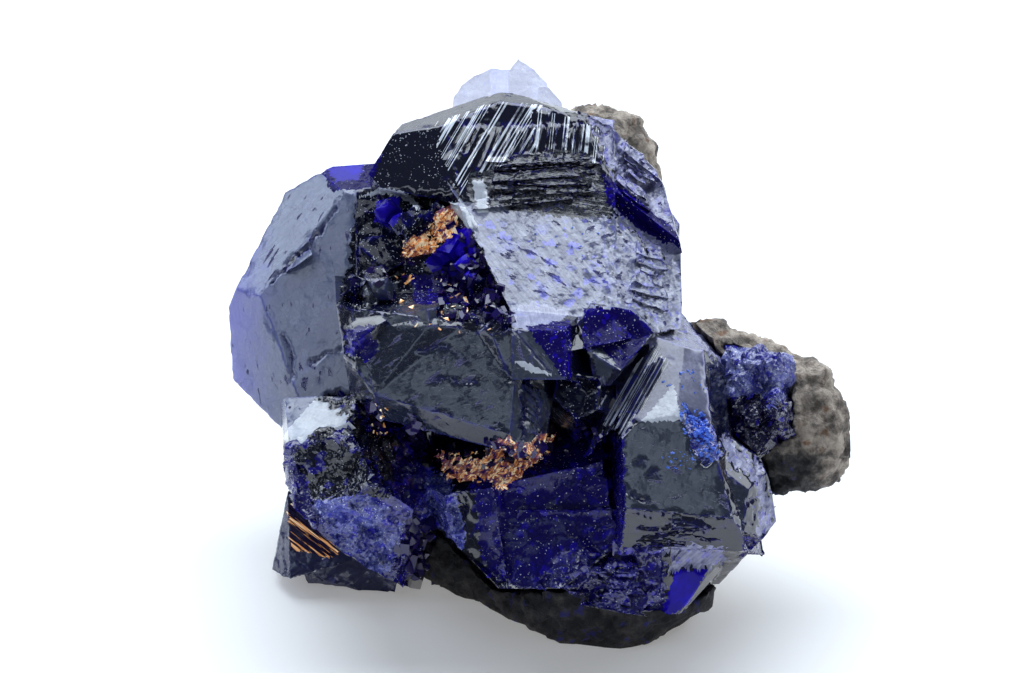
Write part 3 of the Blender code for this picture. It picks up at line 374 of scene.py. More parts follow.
FINISHES = {
    "polished": azurite("azurite polished face", glowing=0.35, rim=0.15, facet=1.6, tilt=0.008),
    "pentagon": azurite("azurite black face", glowing=0.0, roughness=0.0, dust=1.6, rim=0.05),
    "ribbed": azurite("azurite ribbed face", glowing=0.10, streak_turn=-30.0, streaks=0.2, rib_highlights=1.0,
                      roughness=0.04, rib=4.8),
    "fluted": azurite("azurite fluted face", glowing=0.15, streak_turn=-6.0, streaks=0.3, rib_highlights=1.0,
                      roughness=0.04),
    "stepped": azurite("azurite stepped face", frost_and_sheen_share=0.2, glowing=0.15, streak_turn=80.0, streaks=0.5,
                       facet=0.45, tilt=0.08, roughness=0.10, rim=0.1, frost_and_sheen=(0.16, 0.17, 0.22)),
    # The pale slope, worn slope, cleaved, giant and brushed faces are pale partly from frosting and partly
    # from painted reflection; the giant and brushed faces also get a painted glow of light through their thin
    # left side.
    "slope": azurite("azurite pale slope", deep=(0.11, 0.12, 0.21), frost_and_sheen_share=0.60, glowing=0.60,
                     streak_turn=40.0, streaks=0.12, chips=1.0, facet=0.8, tilt=0.07, roughness=0.12,
                     glow=(0.12, 0.13, 0.74), frost_and_sheen=(0.44, 0.47, 0.56)),
    "worn slope": azurite("azurite worn slope", deep=(0.12, 0.13, 0.22), frost_and_sheen_share=0.60, glowing=0.50,
                          streak_turn=-70.0, streaks=0.15, chips=1.0, facet=0.60, tilt=0.12, roughness=0.14,
                          glow=(0.10, 0.10, 0.64), frost_and_sheen=(0.42, 0.45, 0.58)),
    "cleaved": azurite("azurite cleaved face", deep=(0.11, 0.11, 0.24), frost_and_sheen_share=0.65, glowing=0.50,
                       streak_turn=-50.0, streaks=0.15, facet=0.55, tilt=0.11, roughness=0.16, chips=0.5,
                       glow=(0.10, 0.08, 0.60), frost_and_sheen=(0.44, 0.46, 0.66)),
    "giant": azurite("azurite pale left face", deep=(0.09, 0.11, 0.20), frost_and_sheen_share=0.40, glowing=0.40,
                     roughness=0.16, glow=(0.08, 0.08, 0.46), facet=1.1, tilt=0.025,
                     sheer=(-14.0, -17.5), chips=0.25),
    "brushed": azurite("azurite brushed left face", deep=(0.10, 0.12, 0.21), frost_and_sheen_share=0.45, glowing=0.45,
                       roughness=0.20, glow=(0.08, 0.08, 0.46), streak_turn=-50.0, streaks=0.16, facet=0.9,
                       tilt=0.04, sheer=(-14.0, -18.0), chips=0.5),
    "barrel": azurite("azurite grey face", deep=(0.010, 0.014, 0.032), frost_and_sheen_share=0.14, glowing=0.15,
                      streak_turn=-68.0, streaks=0.015, roughness=0.08, facet=0.9, tilt=0.016, chips=0.55,
                      rim=0.2),
    "right": azurite("azurite large right face", deep=(0.020, 0.025, 0.045), frost_and_sheen_share=0.20, glowing=0.18,
                     streak_turn=70.0, streaks=0.02, roughness=0.08, chips=0.5, facet=1.2, tilt=0.012,
                     rim=0.25),
    "broken": azurite("azurite broken face", deep=(0.008, 0.004, 0.140), frost_and_sheen_share=0.30, glowing=0.60,
                      frost_and_sheen=(0.22, 0.27, 0.72), facet=0.7, tilt=0.20, roughness=0.06, dust=0.6),
    "black": azurite("azurite black broken face", glowing=0.40, facet=1.0, tilt=0.14, roughness=0.0,
                     dust=0.7, rim=0.2, specular=0.4),
    "hollow": azurite("azurite dark hollow", glowing=0.30, facet=1.4, tilt=0.05, roughness=0.02,
                      dust=1.3, rim=0.2, specular=0.08),
    # Painted reflection: grey facets that stand for a dim reflection of the room.
    "grey": azurite("azurite grey facet", deep=(0.028, 0.036, 0.060), frost_and_sheen_share=0.25, roughness=0.14,
                    frost_and_sheen=(0.12, 0.14, 0.20), glowing=0.35, facet=0.8, tilt=0.03, rim=0.2, chips=0.5),
    "scored": azurite("azurite finely scored face", deep=(0.020, 0.022, 0.060), glowing=0.15,
                      streak_turn=-30.0, streaks=0.1, rib_highlights=0.6, rib=7.5, roughness=0.08),
    # Partly painted light: a bright frost that is partly painted highlight, and a stronger painted glow.
    "bright": azurite("azurite bright crumbly face", deep=(0.006, 0.006, 0.230), frost_and_sheen_share=0.55,
                      frost_and_sheen=(0.46, 0.56, 1.0), glowing=0.7, facet=0.85, tilt=0.32, roughness=0.04,
                      lit=0.10, dust=1.5),
    "deep": azurite("azurite deep blue face", deep=(0.006, 0.003, 0.110), glowing=0.45, facet=0.7,
                    tilt=0.06, roughness=0.14, specular=0.18, dust=0.6, streak_turn=-40.0, streaks=0.08,
                    chips=0.4),
    "navy": azurite("azurite navy face", deep=(0.006, 0.003, 0.085), glowing=0.50, facet=0.5, tilt=0.08,
                    roughness=0.10, specular=0.05, dust=0.9, lit=0.05),
    # Painted glow: windows where light seems to shine through the crystal.
    "blue": azurite("azurite blue window", deep=(0.012, 0.004, 0.300), glowing=0.9, roughness=0.07, lit=0.16,
                    specular=0.06),
    # The lilac and frosty facets are pale partly from frosting and partly from painted reflection; the white
    # facets are painted highlights.
    "lilac": azurite("azurite lilac facet", deep=(0.08, 0.085, 0.15), frost_and_sheen_share=0.55, frost_and_sheen=(0.34, 0.35, 0.52),
                     glowing=0.25, roughness=0.12, glow=(0.08, 0.06, 0.50)),
    "painted_highlight": azurite("azurite painted highlight facet", deep=(0.36, 0.39, 0.45), frost_and_sheen_share=0.7, frost_and_sheen=(0.60, 0.64, 0.72),
                     glowing=0.0, roughness=0.12, rim=0.1, facet=0.8, tilt=0.03),
    "frosty": azurite("azurite frosty lilac facet", deep=(0.22, 0.23, 0.36), frost_and_sheen_share=0.60,
                      frost_and_sheen=(0.52, 0.54, 0.70), glowing=0.5, roughness=0.14, glow=(0.14, 0.13, 0.72),
                      streak_turn=8.0, streaks=0.08, facet=0.6, tilt=0.05, rim=0.2),
    "gold": golden("azurite gold film"),
}
FINISH_NAMES = list(FINISHES)


def copy_of(node, name):
    """A piece of its own from a CAD node's shape, its points merged and its flat faces made whole."""
    bpy.ops.object.select_all(action="DESELECT")
    piece = bpy.data.objects.new(name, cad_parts[node].data.copy())
    bpy.context.scene.collection.objects.link(piece)
    piece.data.materials.clear()
    piece.select_set(True)
    bpy.context.view_layer.objects.active = piece
    bpy.ops.object.mode_set(mode="EDIT")
    bpy.ops.mesh.select_all(action="SELECT")
    bpy.ops.mesh.remove_doubles(threshold=TOUCHING)
    bpy.ops.mesh.dissolve_limited(angle_limit=FLAT_ANGLE)
    bpy.ops.object.mode_set(mode="OBJECT")
    return piece


def face_at(shape, tree, across, rise):
    """The face that is met first from in front at a place on the front."""
    hit, _, number, _ = tree.ray_cast(spot(across, rise, IN_FRONT), -NEAR)
    return shape.faces[number] if hit else None


def refine(shape, fine, coarse, shows):
    """Halves the longest edges, pass by pass, and the triangles beside them: fine where they show."""
    bmesh.ops.triangulate(shape, faces=shape.faces, quad_method="BEAUTY", ngon_method="BEAUTY")
    limit = max(edge.calc_length() for edge in shape.edges) / MM / FIRST_STEP
    for _ in range(REFINE_PASSES):
        limit = max(limit, fine)
        long = []
        for edge in shape.edges:
            wanted = fine if any(shows(face) for face in edge.link_faces) else coarse
            length = edge.calc_length() / MM
            if length > max(limit, wanted) * REFINE_LIMIT:
                long.append((length, edge))
        long.sort(key=lambda pair: -pair[0])
        for _, edge in long:
            _, middle = bmesh.utils.edge_split(edge, edge.verts[0], 0.5)
            for loop in list(middle.link_loops):
                bmesh.utils.face_split(loop.face, middle, loop.link_loop_next.link_loop_next.vert)
        shape.normal_update()
        limit /= REFINE_STEP


def inside(outline, across, rise):
    """Whether a place on the front lies inside an outline."""
    within = False
    last = outline[-1]
    for corner in outline:
        if (corner[1] > rise) != (last[1] > rise):
            cross = corner[0] + (rise - corner[1]) / (last[1] - corner[1]) * (last[0] - corner[0])
            if across < cross:
                within = not within
        last = corner
    return within


def shards(place, size, tilt):
    """The height in millimetres of flat broken facets of one size at a place on the front."""
    middle = noise.voronoi(place / size)[1][0]
    lean = noise.cell_vector(middle * 7.3) - Vector((0.5, 0.5, 0.5))
    return (place / size - middle).dot(lean) * 2.0 * tilt * size


RELIEF = {                # finish and, for each size of broken facet in millimetres, its tilt
    "broken": ((1.9, 0.34), (0.7, 0.30)),
    "black": ((1.8, 0.34), (0.8, 0.22)),
    "hollow": ((2.6, 0.20), (1.1, 0.10)),
    "bright": ((1.5, 0.34), (0.5, 0.34)),
    "deep": ((2.2, 0.05), (0.7, 0.06)),
    "cleaved": ((1.5, 0.14), (0.6, 0.14)),
    "worn slope": ((1.5, 0.10), (0.6, 0.12)),
    "stepped": ((1.0, 0.08), (0.5, 0.08)),
    "slope": ((1.1, 0.03), (0.45, 0.04)),
    "gold": ((0.7, 0.30), (0.4, 0.30)),
}
PUSH_IN = 0.10            # broken facets lie this much under the whole face on average, millimetres
GROOVES = [               # half width and depth in millimetres, and the line of each cleft or step
    (0.15, 0.20, [(-11.9, 9.6), (-12.6, 8.2), (-13.0, 7.6), (-14.3, 5.9), (-14.9, 5.6), (-16.2, 4.3)]),
    (0.15, 0.22, [(-15.3, 0.9), (-15.0, 0.2), (-14.8, -1.5)]),
    (0.13, 0.18, [(-13.7, -0.6), (-12.8, -0.1), (-11.7, 0.2)]),
    (0.14, 0.18, [(4.6, -7.7), (5.4, -8.2), (6.0, -8.3)]),
    (0.14, 0.18, [(5.0, -9.0), (6.3, -9.3), (7.4, -9.1)]),
    (0.12, 0.14, [(5.4, -6.2), (5.8, -5.9), (6.0, -6.4)]),
    (0.12, 0.14, [(6.1, -6.9), (6.5, -6.6), (6.6, -7.0)]),
    (0.12, 0.14, [(7.0, -9.7), (9.4, -9.5), (11.6, -8.9), (12.6, -7.9)]),
    (0.12, 0.12, [(6.6, -10.3), (9.4, -10.2), (11.8, -9.6), (12.9, -8.7)]),
    (0.14, 0.16, [(-0.4, -2.6), (0.0, -3.8), (-0.4, -4.9)]),
    (0.14, 0.16, [(-1.2, -2.3), (-0.9, -3.6), (-1.3, -5.0)]),
    (0.12, 0.14, [(-1.4, 1.2), (-0.5, 0.2), (0.2, -0.8)]),
    (0.11, 0.12, [(-7.2, 0.2), (-6.2, 0.6), (-5.2, 0.2), (-4.6, -0.4)]),
    (0.11, 0.12, [(-6.6, -1.6), (-5.6, -1.2), (-4.6, -1.8), (-3.9, -1.6)]),
]
LEVELLED = [              # a place on a whole face, and the outline inside which its low steps go
    ((-16.8, 4.9), [(-18.5, 1.0), (-11.6, 1.0), (-11.0, 11.0), (-18.5, 11.0)]),
    ((-3.7, -2.5), [(-10.2, -3.4), (-2.4, -3.4), (-2.4, 2.0), (-10.2, 2.0)]),
]
IN_PLANE = 0.004          # points this near a face's plane lie on it, millimetres
LOW_STEP = 0.45           # steps lower than this are worn away
CHIP_SIZE = 0.9           # distance between chips along an edge, millimetres
CHIP_DEPTH = 0.20
EDGE_SPREAD = 0.6         # the share of an edge's paint that the points next to it get
FACING = 0.2              # grooves are cut where a face turns this much to the front


def distance_to_line(line, across, rise):
    """How far a place on the front lies from a bent line."""
    nearest = 99.0
    for first, second in zip(line, line[1:]):
        run = (second[0] - first[0], second[1] - first[1])
        along = (across - first[0]) * run[0] + (rise - first[1]) * run[1]
        along /= run[0] ** 2 + run[1] ** 2
        along = min(1.0, max(0.0, along))
        nearest = min(nearest, math.hypot(across - first[0] - run[0] * along,
                                          rise - first[1] - run[1] * along))
    return nearest


def level(shape):
    """Wears the low steps off a few faces: each face is filled anew, flat, inside its own rim."""
    for (across, rise), outline in LEVELLED:
        shape.faces.ensure_lookup_table()
        whole = face_at(shape, BVHTree.FromBMesh(shape), across, rise)
        middle, normal, finish = whole.calc_center_median(), whole.normal.copy(), whole.material_index
        flat = set()
        for vert in shape.verts:
            place = on_front(vert.co)
            proud = (vert.co - middle).dot(normal) / MM
            if abs(proud) < IN_PLANE or (0.0 < proud < LOW_STEP and inside(outline, place.x, place.y)):
                flat.add(vert)
        worn = [face for face in shape.faces if all(vert in flat for vert in face.verts)]
        bmesh.ops.delete(shape, geom=worn, context="FACES")
        rim = [edge for edge in shape.edges if edge.is_boundary]
        filled = bmesh.ops.triangle_fill(shape, use_beauty=True, edges=rim, normal=normal)
        for part in filled["geom"]:
            if isinstance(part, bmesh.types.BMFace):
                part.material_index = finish


def wear(shape):
    """Chips the sharp edges and cuts the grooves; paints edges and grooves."""
    # The edge paint feeds a painted glow along the edges, and the groove paint a painted shade in the
    # grooves.
    edge_paint = shape.verts.layers.float.new("edge")
    groove_paint = shape.verts.layers.float.new("groove")
    for vert in shape.verts:
        sharp = any(edge.calc_face_angle(0.0) > SHARP_ANGLE and edge.is_convex
                    for edge in vert.link_edges)
        if sharp and any(face.normal.dot(NEAR) > 0.0 for face in vert.link_faces):
            vert[edge_paint] = 1.0
    for _ in range(2):
        spread = []
        for vert in shape.verts:
            if vert[edge_paint] < 1.0:
                most = max(edge.other_vert(vert)[edge_paint] for edge in vert.link_edges)
                if most > EDGE_SPREAD / 2:
                    spread.append((vert, most * EDGE_SPREAD))
        for vert, value in spread:
            vert[edge_paint] = max(vert[edge_paint], value)
    shape.normal_update()
    moves = []
    for vert in shape.verts:
        place = on_front(vert.co)
        depth = 0.0
        if vert[edge_paint] > 0.0:
            chip = noise.noise(place / CHIP_SIZE) + 0.4 * noise.noise(place * 2.6) - 0.05
            depth = CHIP_DEPTH * vert[edge_paint] * max(0.0, chip)
        if vert.normal.dot(NEAR) > FACING:
            wobble = 0.30 * noise.noise(place * 1.3) + 0.14 * noise.noise(place * 4.0)
            for half, deep, line in GROOVES:
                away = distance_to_line(line, place.x + wobble, place.y - wobble)
                if away < half:
                    vert[groove_paint] = 1.0 - away / half
                    depth = max(depth, deep * (1.0 - away / half))
        if depth:
            moves.append((vert, vert.normal * -depth * MM))
    for vert, move in moves:
        vert.co += move
    shape.normal_update()


def roughen(shape, names):
    """Gives the points of broken faces their relief."""
    moves = []
    for vert in shape.verts:
        share = {}
        for face in vert.link_faces:
            finish = names[face.material_index]
            if finish in RELIEF:
                share[finish] = share.get(finish, 0.0) + 1.0 / len(vert.link_faces)
        if share:
            place = on_front(vert.co)
            height = 0.0
            for finish, part in share.items():
                broken = sum(shards(place, size, tilt) for size, tilt in RELIEF[finish])
                height += part * (broken - PUSH_IN)
            moves.append((vert, vert.normal * height * MM))
    for vert, move in moves:
        vert.co += move


cluster = copy_of("azurite_cluster", "azurite_crystals")
for name in FINISH_NAMES:
    cluster.data.materials.append(FINISHES[name])
# The white highlight faces are painted highlights, and the lilac faces are pale partly from painted
# reflection.
WHOLE_FACES = [           # a place on each whole face that has a finish of its own
    ("pentagon", -7.2, 11.4), ("ribbed", -2.5, 12.4), ("slope", -0.1, 5.0), ("slope", 5.8, 4.4),
    ("barrel", -5.4, 14.4), ("barrel", -3.1, 15.0), ("barrel", -0.1, 14.6),
    ("giant", -14.9, 1.4), ("brushed", -14.9, 7.6), ("brushed", -16.8, 4.9), ("giant", -17.5, 0.8),
    ("giant", -10.6, 9.9),
    ("barrel", -5.4, -1.9), ("barrel", -5.0, -4.3), ("grey", 0.2, 0.2), ("hollow", 2.2, -2.0),
    ("right", 7.6, -8.0), ("painted_highlight", 5.4, -3.6), ("lilac", 6.6, -3.4), ("lilac", 9.0, -2.4),
    ("right", 11.4, -8.2), ("painted_highlight", -13.1, -3.6), ("lilac", 8.1, 0.6),
]
WANDER = 0.3              # how far a patch's outline wanders, millimetres
RAGGED = {"painted_highlight": 0.2, "giant": 0.2, "worn slope": 3.0, "cleaved": 1.6, "blue": 0.5, "navy": 0.4,
          "grey": 0.4, "lilac": 0.4}     # share of that for some patches
# Among the patches, the white highlight ones are painted highlights, the grey ones painted reflection, the
# blue ones a painted glow, the cleaved, worn slope, giant and frosty ones partly painted reflection.
PATCHES = [               # finish and outline of each patch that runs over several faces
    ("ribbed", [(-6.4, 13.6), (-2.4, 15.0), (0.2, 14.6), (-0.6, 11.2), (-4.8, 9.4), (-5.4, 10.4)]),
    ("fluted", [(-0.6, 14.5), (2.0, 13.9), (3.9, 12.6), (3.6, 11.2), (-0.4, 11.2)]),
    ("stepped", [(-4.3, 9.2), (-4.3, 10.4), (-2.6, 10.9), (-1.4, 11.8), (1.6, 12.0), (2.8, 11.8), (4.1, 9.6),
                 (4.1, 7.8), (-2.5, 8.6)]),
    ("painted_highlight", [(-4.1, 10.2), (-3.4, 10.2), (-3.15, 9.1), (-3.2, 8.3), (-3.8, 8.3)]),
    ("hollow", [(-11.0, 9.4), (-8.0, 9.6), (-5.0, 9.2), (-3.6, 6.0), (-1.8, 1.6), (-6.5, 1.9), (-11.8, 3.0)]),
    ("cleaved", [(2.6, 14.6), (7.4, 12.6), (8.8, 9.0), (8.8, 5.0), (6.4, 6.4), (4.2, 8.6), (4.2, 10.6)]),
    ("worn slope", [(2.6, 7.6), (4.2, 8.2), (6.4, 6.4), (8.8, 5.0), (8.8, 0.6), (6.2, 1.8), (2.9, 2.9),
                    (3.8, 4.4), (2.4, 5.8)]),
    # Painted shade: the navy band on the riser under the ledge at the right of the top crystal.
    ("navy", [(3.6, 10.6), (5.8, 9.0), (8.3, 7.0), (8.3, 6.2), (5.6, 7.4), (3.8, 9.0)]),
    ("giant", [(-15.6, -2.0), (-13.1, -2.4), (-15.3, -4.9)]),
    ("black", [(-13.1, -2.4), (-10.6, -2.2), (-10.6, -4.4)]),
    ("broken", [(-15.3, -5.3), (-11.4, -4.6), (-10.4, -3.9), (-7.0, -4.4), (-6.6, -9.4), (-8.0, -14.0),
                (-15.6, -10.0)]),
    ("black", [(-13.4, -4.6), (-10.4, -3.9), (-8.4, -5.0), (-8.8, -8.4), (-13.0, -8.8), (-14.6, -6.0)]),
    ("bright", [(-13.4, -8.6), (-10.2, -8.0), (-8.0, -9.8), (-8.8, -12.6), (-11.0, -13.4)]),
    ("deep", [(-4.2, -7.4), (1.9, -4.6), (4.5, -5.2), (4.6, -11.0), (1.4, -14.4), (-3.4, -12.8)]),
    ("bright", [(-6.8, -6.6), (-5.4, -7.2), (-4.6, -9.6), (-4.6, -12.9), (-6.4, -11.0), (-7.0, -8.6)]),
    ("gold", [(-6.2, -5.6), (-3.6, -6.2), (-2.6, -4.9), (-0.4, -4.4), (0.9, -4.6), (0.0, -5.8), (-2.4, -8.0),
              (-3.2, -7.2), (-5.6, -7.3)]),
    ("blue", [(-8.4, 9.4), (-9.85, 9.1), (-10.0, 7.8), (-8.85, 7.4), (-8.3, 8.2)]),
    ("blue", [(-5.1, 7.4), (-4.2, 7.4), (-3.8, 4.7), (-6.0, 4.1), (-6.9, 5.4), (-5.7, 6.7)]),
    ("gold", [(-8.1, 6.7), (-7.2, 7.0), (-6.25, 6.7), (-6.25, 6.0), (-8.1, 5.7)]),
    ("gold", [(-6.25, 8.4), (-5.2, 8.8), (-5.0, 7.4), (-5.7, 6.7), (-6.5, 7.0)]),
    ("navy", [(2.4, 2.7), (5.0, 2.7), (6.4, 1.3), (4.6, -0.9), (2.2, 0.4)]),
    ("grey", [(2.65, 0.24), (3.3, 0.4), (4.2, -0.5), (3.7, -1.65), (3.4, -1.65)]),
    ("grey", [(0.6, -3.0), (1.8, -3.7), (1.7, -4.4), (0.6, -3.9)]),
    ("grey", [(-1.9, -1.4), (0.3, -2.2), (0.4, -3.6), (-0.6, -5.0), (-1.9, -5.0)]),
    ("frosty", [(-2.0, 2.5), (-0.6, 3.1), (1.7, 2.5), (1.1, 2.0), (0.6, 1.2), (-1.9, 1.5)]),
    ("grey", [(-10.6, 4.5), (-8.5, 4.3), (-8.7, 3.1), (-10.4, 3.0)]),
    ("grey", [(-8.4, 2.9), (-6.1, 3.2), (-6.0, 1.4), (-8.4, 1.5)]),
    ("navy", [(-7.8, 4.6), (-3.9, 4.6), (-4.2, 2.9), (-7.4, 2.9)]),
    ("broken", [(1.2, -11.4), (7.0, -10.9), (7.4, -15.9), (-1.4, -15.0)]),
    ("cleaved", [(7.0, -10.9), (10.6, -11.2), (10.8, -12.4), (7.4, -12.6)]),
    ("blue", [(7.7, -12.6), (9.6, -12.6), (8.6, -14.6), (7.0, -15.4)]),
    ("navy", [(-13.6, 11.8), (-9.4, 11.8), (-10.2, 9.9), (-12.6, 9.7)]),
    ("blue", [(-12.9, 11.3), (-10.7, 11.5), (-10.9, 10.4), (-12.3, 10.3)]),
    ("deep", [(-11.5, 1.4), (-9.9, 1.9), (-9.5, 0.2), (-10.2, -0.5), (-11.3, 0.0)]),
    ("deep", [(11.6, -10.5), (13.6, -10.8), (13.6, -12.4), (11.6, -12.4)]),
    ("scored", [(3.4, -2.6), (6.6, 0.6), (7.3, -0.6), (4.6, -4.9), (3.2, -3.8)]),
    ("deep", [(3.0, -4.4), (4.7, -4.9), (4.7, -9.8), (3.4, -9.6)]),
    ("painted_highlight", [(7.6, -1.7), (8.0, -3.8), (5.6, -3.9)]),
    ("painted_highlight", [(-10.9, 9.3), (-9.6, 9.8), (-8.3, 9.6), (-7.1, 8.8), (-7.2, 8.5), (-8.4, 9.3), (-9.6, 9.5)]),
    ("painted_highlight", [(-5.6, 9.0), (-4.4, 8.6), (-3.7, 7.5), (-4.4, 7.3), (-5.0, 8.0)]),
    ("navy", [(-1.0, 1.6), (1.6, 2.0), (1.7, -1.7), (0.9, -1.0)]),
    ("painted_highlight", [(-1.7, -0.4), (-1.1, -0.35), (0.7, -1.2), (-0.7, -1.0)]),
    ("cleaved", [(8.2, 2.6), (9.6, 2.1), (10.9, 0.4), (10.9, -0.8), (9.2, 0.4)]),
    ("bright", [(8.3, -3.2), (9.6, -3.6), (10.4, -5.8), (9.4, -6.4), (8.4, -5.0)]),
    ("cleaved", [(10.4, -4.4), (12.9, -6.6), (13.6, -9.8), (12.6, -10.6), (12.4, -7.6), (10.6, -6.0)]),
]

shape = bmesh.new()
shape.from_mesh(cluster.data)
tree = BVHTree.FromBMesh(shape)
shape.faces.ensure_lookup_table()
for finish, across, rise in WHOLE_FACES:
    face = face_at(shape, tree, across, rise)
    if face:
        face.material_index = FINISH_NAMES.index(finish)
bmesh.ops.triangulate(shape, faces=shape.faces, quad_method="BEAUTY", ngon_method="BEAUTY")
level(shape)
refine(shape, FINE_EDGE, COARSE_EDGE, lambda face: face.normal.dot(NEAR) > 0.0)
shape.normal_update()
for face in shape.faces:
    if face.normal.dot(NEAR) > 0.05:
        across, rise, near = on_front(face.calc_center_median())
        place = Vector((across, rise, near))
        wander = noise.noise(place * 2.5) * WANDER
        for finish, outline in PATCHES:
            ragged = wander * RAGGED.get(finish, 1.0)
            if inside(outline, across + ragged, rise + ragged):
                face.material_index = FINISH_NAMES.index(finish)
wear(shape)
roughen(shape, FINISH_NAMES)
shape.to_mesh(cluster.data)
shape.free()
bpy.ops.object.shade_smooth_by_angle(angle=SMOOTH_ANGLE)
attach(cluster, "root")
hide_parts("azurite_cluster")

# ---- Small crystals and gold flecks in the hollow ---------------------------------------------
# The hollow between the big crystals, and the ledge under them, are lined with small crystals that
# sparkle, and with thin flakes that shine gold where the mineral is cracked.
SPARKLE_RINGS = [         # outline, number, least and greatest size in millimetres
    ([(-11.0, 9.2), (-8.0, 9.5), (-5.2, 9.2), (-3.8, 6.0), (-1.6, 2.0), (-6.5, 2.3), (-11.6, 3.2)],
     8, 0.20, 0.50),
    ([(-6.4, 5.0), (-3.6, 5.2), (-1.6, 1.8), (-5.6, 2.0)], 90, 0.18, 0.50),
    ([(-5.0, 7.0), (-4.4, 7.4), (-1.6, 2.4), (-2.6, 1.6)], 40, 0.20, 0.48),
    ([(-6.2, -5.4), (0.8, -4.4), (3.8, -4.0), (3.8, -5.4), (-6.2, -7.2)], 60, 0.20, 0.50),
    ([(-8.4, -9.6), (-6.6, -9.8), (-3.6, -13.4), (-7.6, -13.6)], 90, 0.25, 0.70),
    ([(-10.4, -2.8), (-7.0, -3.4), (-6.4, -5.6), (-9.4, -5.0)], 26, 0.20, 0.60),
]
POWDER_RINGS = [          # outline, number, least and greatest size of the grains of blue powder
    ([(8.0, -2.8), (9.2, -3.2), (10.3, -5.6), (9.6, -6.4), (8.6, -5.2), (7.9, -4.2)], 130, 0.05, 0.15),
    ([(8.4, -3.4), (9.4, -3.8), (9.8, -5.2), (8.8, -4.8)], 90, 0.06, 0.18),
    ([(6.6, -5.8), (8.8, -5.4), (9.2, -6.6), (7.2, -6.8)], 30, 0.04, 0.11),
    ([(6.8, -1.2), (10.0, -0.6), (9.8, -2.4), (7.2, -2.2)], 26, 0.05, 0.13),
    ([(-1.0, 8.0), (4.0, 7.0), (4.0, 3.0), (0.0, 6.0)], 14, 0.05, 0.12),
]
GOLD_RINGS = [            # outline, number, least and greatest size of its gold flakes
    ([(-8.2, 6.8), (-6.4, 7.2), (-5.9, 6.2), (-8.2, 5.7)], 70, 0.10, 0.36),
    ([(-6.6, 7.6), (-5.6, 8.6), (-4.8, 8.0), (-5.2, 6.8), (-6.2, 6.6)], 70, 0.10, 0.36),
    ([(-9.4, 5.0), (-4.6, 4.4), (-2.4, 0.6), (-8.0, 1.6)], 26, 0.12, 0.34),
    ([(-10.0, -2.6), (-8.0, -3.6), (-9.0, -4.8), (-10.6, -4.4)], 12, 0.12, 0.30),
    ([(-6.2, -5.8), (-3.0, -5.6), (0.9, -4.6), (0.2, -6.0), (-2.2, -7.8), (-5.6, -7.3)],
     130, 0.07, 0.26),
]


def cut_crystal(sides):
    """A small faceted crystal, its half length 1, cut from a cube by planes."""
    bpy.ops.object.select_all(action="DESELECT")
    bpy.ops.mesh.primitive_cube_add(size=2.0)
    bpy.ops.object.mode_set(mode="EDIT")
    for direction, distance in sides:
        outward = Vector(direction).normalized()
        bpy.ops.mesh.select_all(action="SELECT")
        bpy.ops.mesh.bisect(plane_co=outward * distance, plane_no=outward, use_fill=True, clear_outer=True)
    bpy.ops.object.mode_set(mode="OBJECT")
    return bpy.context.object


def random_turn(draw):
    """A turn to any side."""
    turn, tip, twist = (draw.uniform(0.0, math.tau) for _ in range(3))
    return Matrix.Rotation(turn, 4, "Z") @ Matrix.Rotation(tip, 4, "X") @ Matrix.Rotation(twist, 4, "Z")


def scatter(models, rings, tree, draw, sunk, flat=0.0):
    """One mesh of many turned and scaled copies, each on the surface seen from in front."""
    spread = bmesh.new()
    for outline, count, least, most in rings:
        low = [min(corner[way] for corner in outline) for way in (0, 1)]
        high = [max(corner[way] for corner in outline) for way in (0, 1)]
        placed = 0
        while placed < count:
            across, rise = draw.uniform(low[0], high[0]), draw.uniform(low[1], high[1])
            if not inside(outline, across, rise):
                continue
            placed += 1
            place, outward, _, _ = tree.ray_cast(spot(across, rise, IN_FRONT), -NEAR)
            if place is None:
                continue
            size = least + (most - least) * draw.random() ** 2
            if flat:
                turn = outward.to_track_quat("Z", "Y").to_matrix().to_4x4()
                turn = turn @ Matrix.Rotation(draw.uniform(0.0, math.tau), 4, "Z")
                turn = turn @ Matrix.Rotation(draw.uniform(-flat, flat), 4, "X")
            else:
                turn = random_turn(draw)
            copy = draw.choice(models).data.copy()
            copy.transform(Matrix.Translation(place - outward * size * sunk * MM) @ turn
                           @ Matrix.Diagonal((size * MM, size * MM, size * MM, 1.0)))
            spread.from_mesh(copy)
            bpy.data.meshes.remove(copy)
    return spread


def piece_from(shape, name, finish):
    """An object of its own from a finished shape, in its finish, riding on the specimen."""
    mesh = bpy.data.meshes.new(name)
    shape.to_mesh(mesh)
    shape.free()
    piece = bpy.data.objects.new(name, mesh)
    bpy.context.scene.collection.objects.link(piece)
    mesh.materials.append(finish)
    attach(piece, "root")


draw = random.Random(5)
crystal_models = [
    cut_crystal([((1, 0, 0), 0.5), ((-1, 0, 0), 0.5), ((0, 1, 0), 0.42), ((0, -1, 0), 0.42),
                 ((0.6, 0.1, 0.7), 0.7), ((-0.5, 0.3, 0.8), 0.75), ((0.1, -0.7, 0.6), 0.62),
                 ((0.5, 0.5, -0.6), 0.7)]),
    cut_crystal([((1, 0, 0), 0.66), ((-1, 0, 0), 0.6), ((0, 1, 0), 0.5), ((0, -1, 0), 0.5),
                 ((0.7, 0.7, 0), 0.62), ((-0.7, 0.6, 0.2), 0.6), ((0.2, 0.3, 0.9), 0.7),
                 ((0.4, -0.5, 0.7), 0.66)]),
    cut_crystal([((1, 0, 0), 0.3), ((-1, 0, 0), 0.3), ((0, 1, 0), 0.6), ((0, -1, 0), 0.6),
                 ((0, 0.6, 0.6), 0.66), ((0, -0.7, 0.5), 0.7), ((0.6, 0, 0.9), 0.8)]),
]
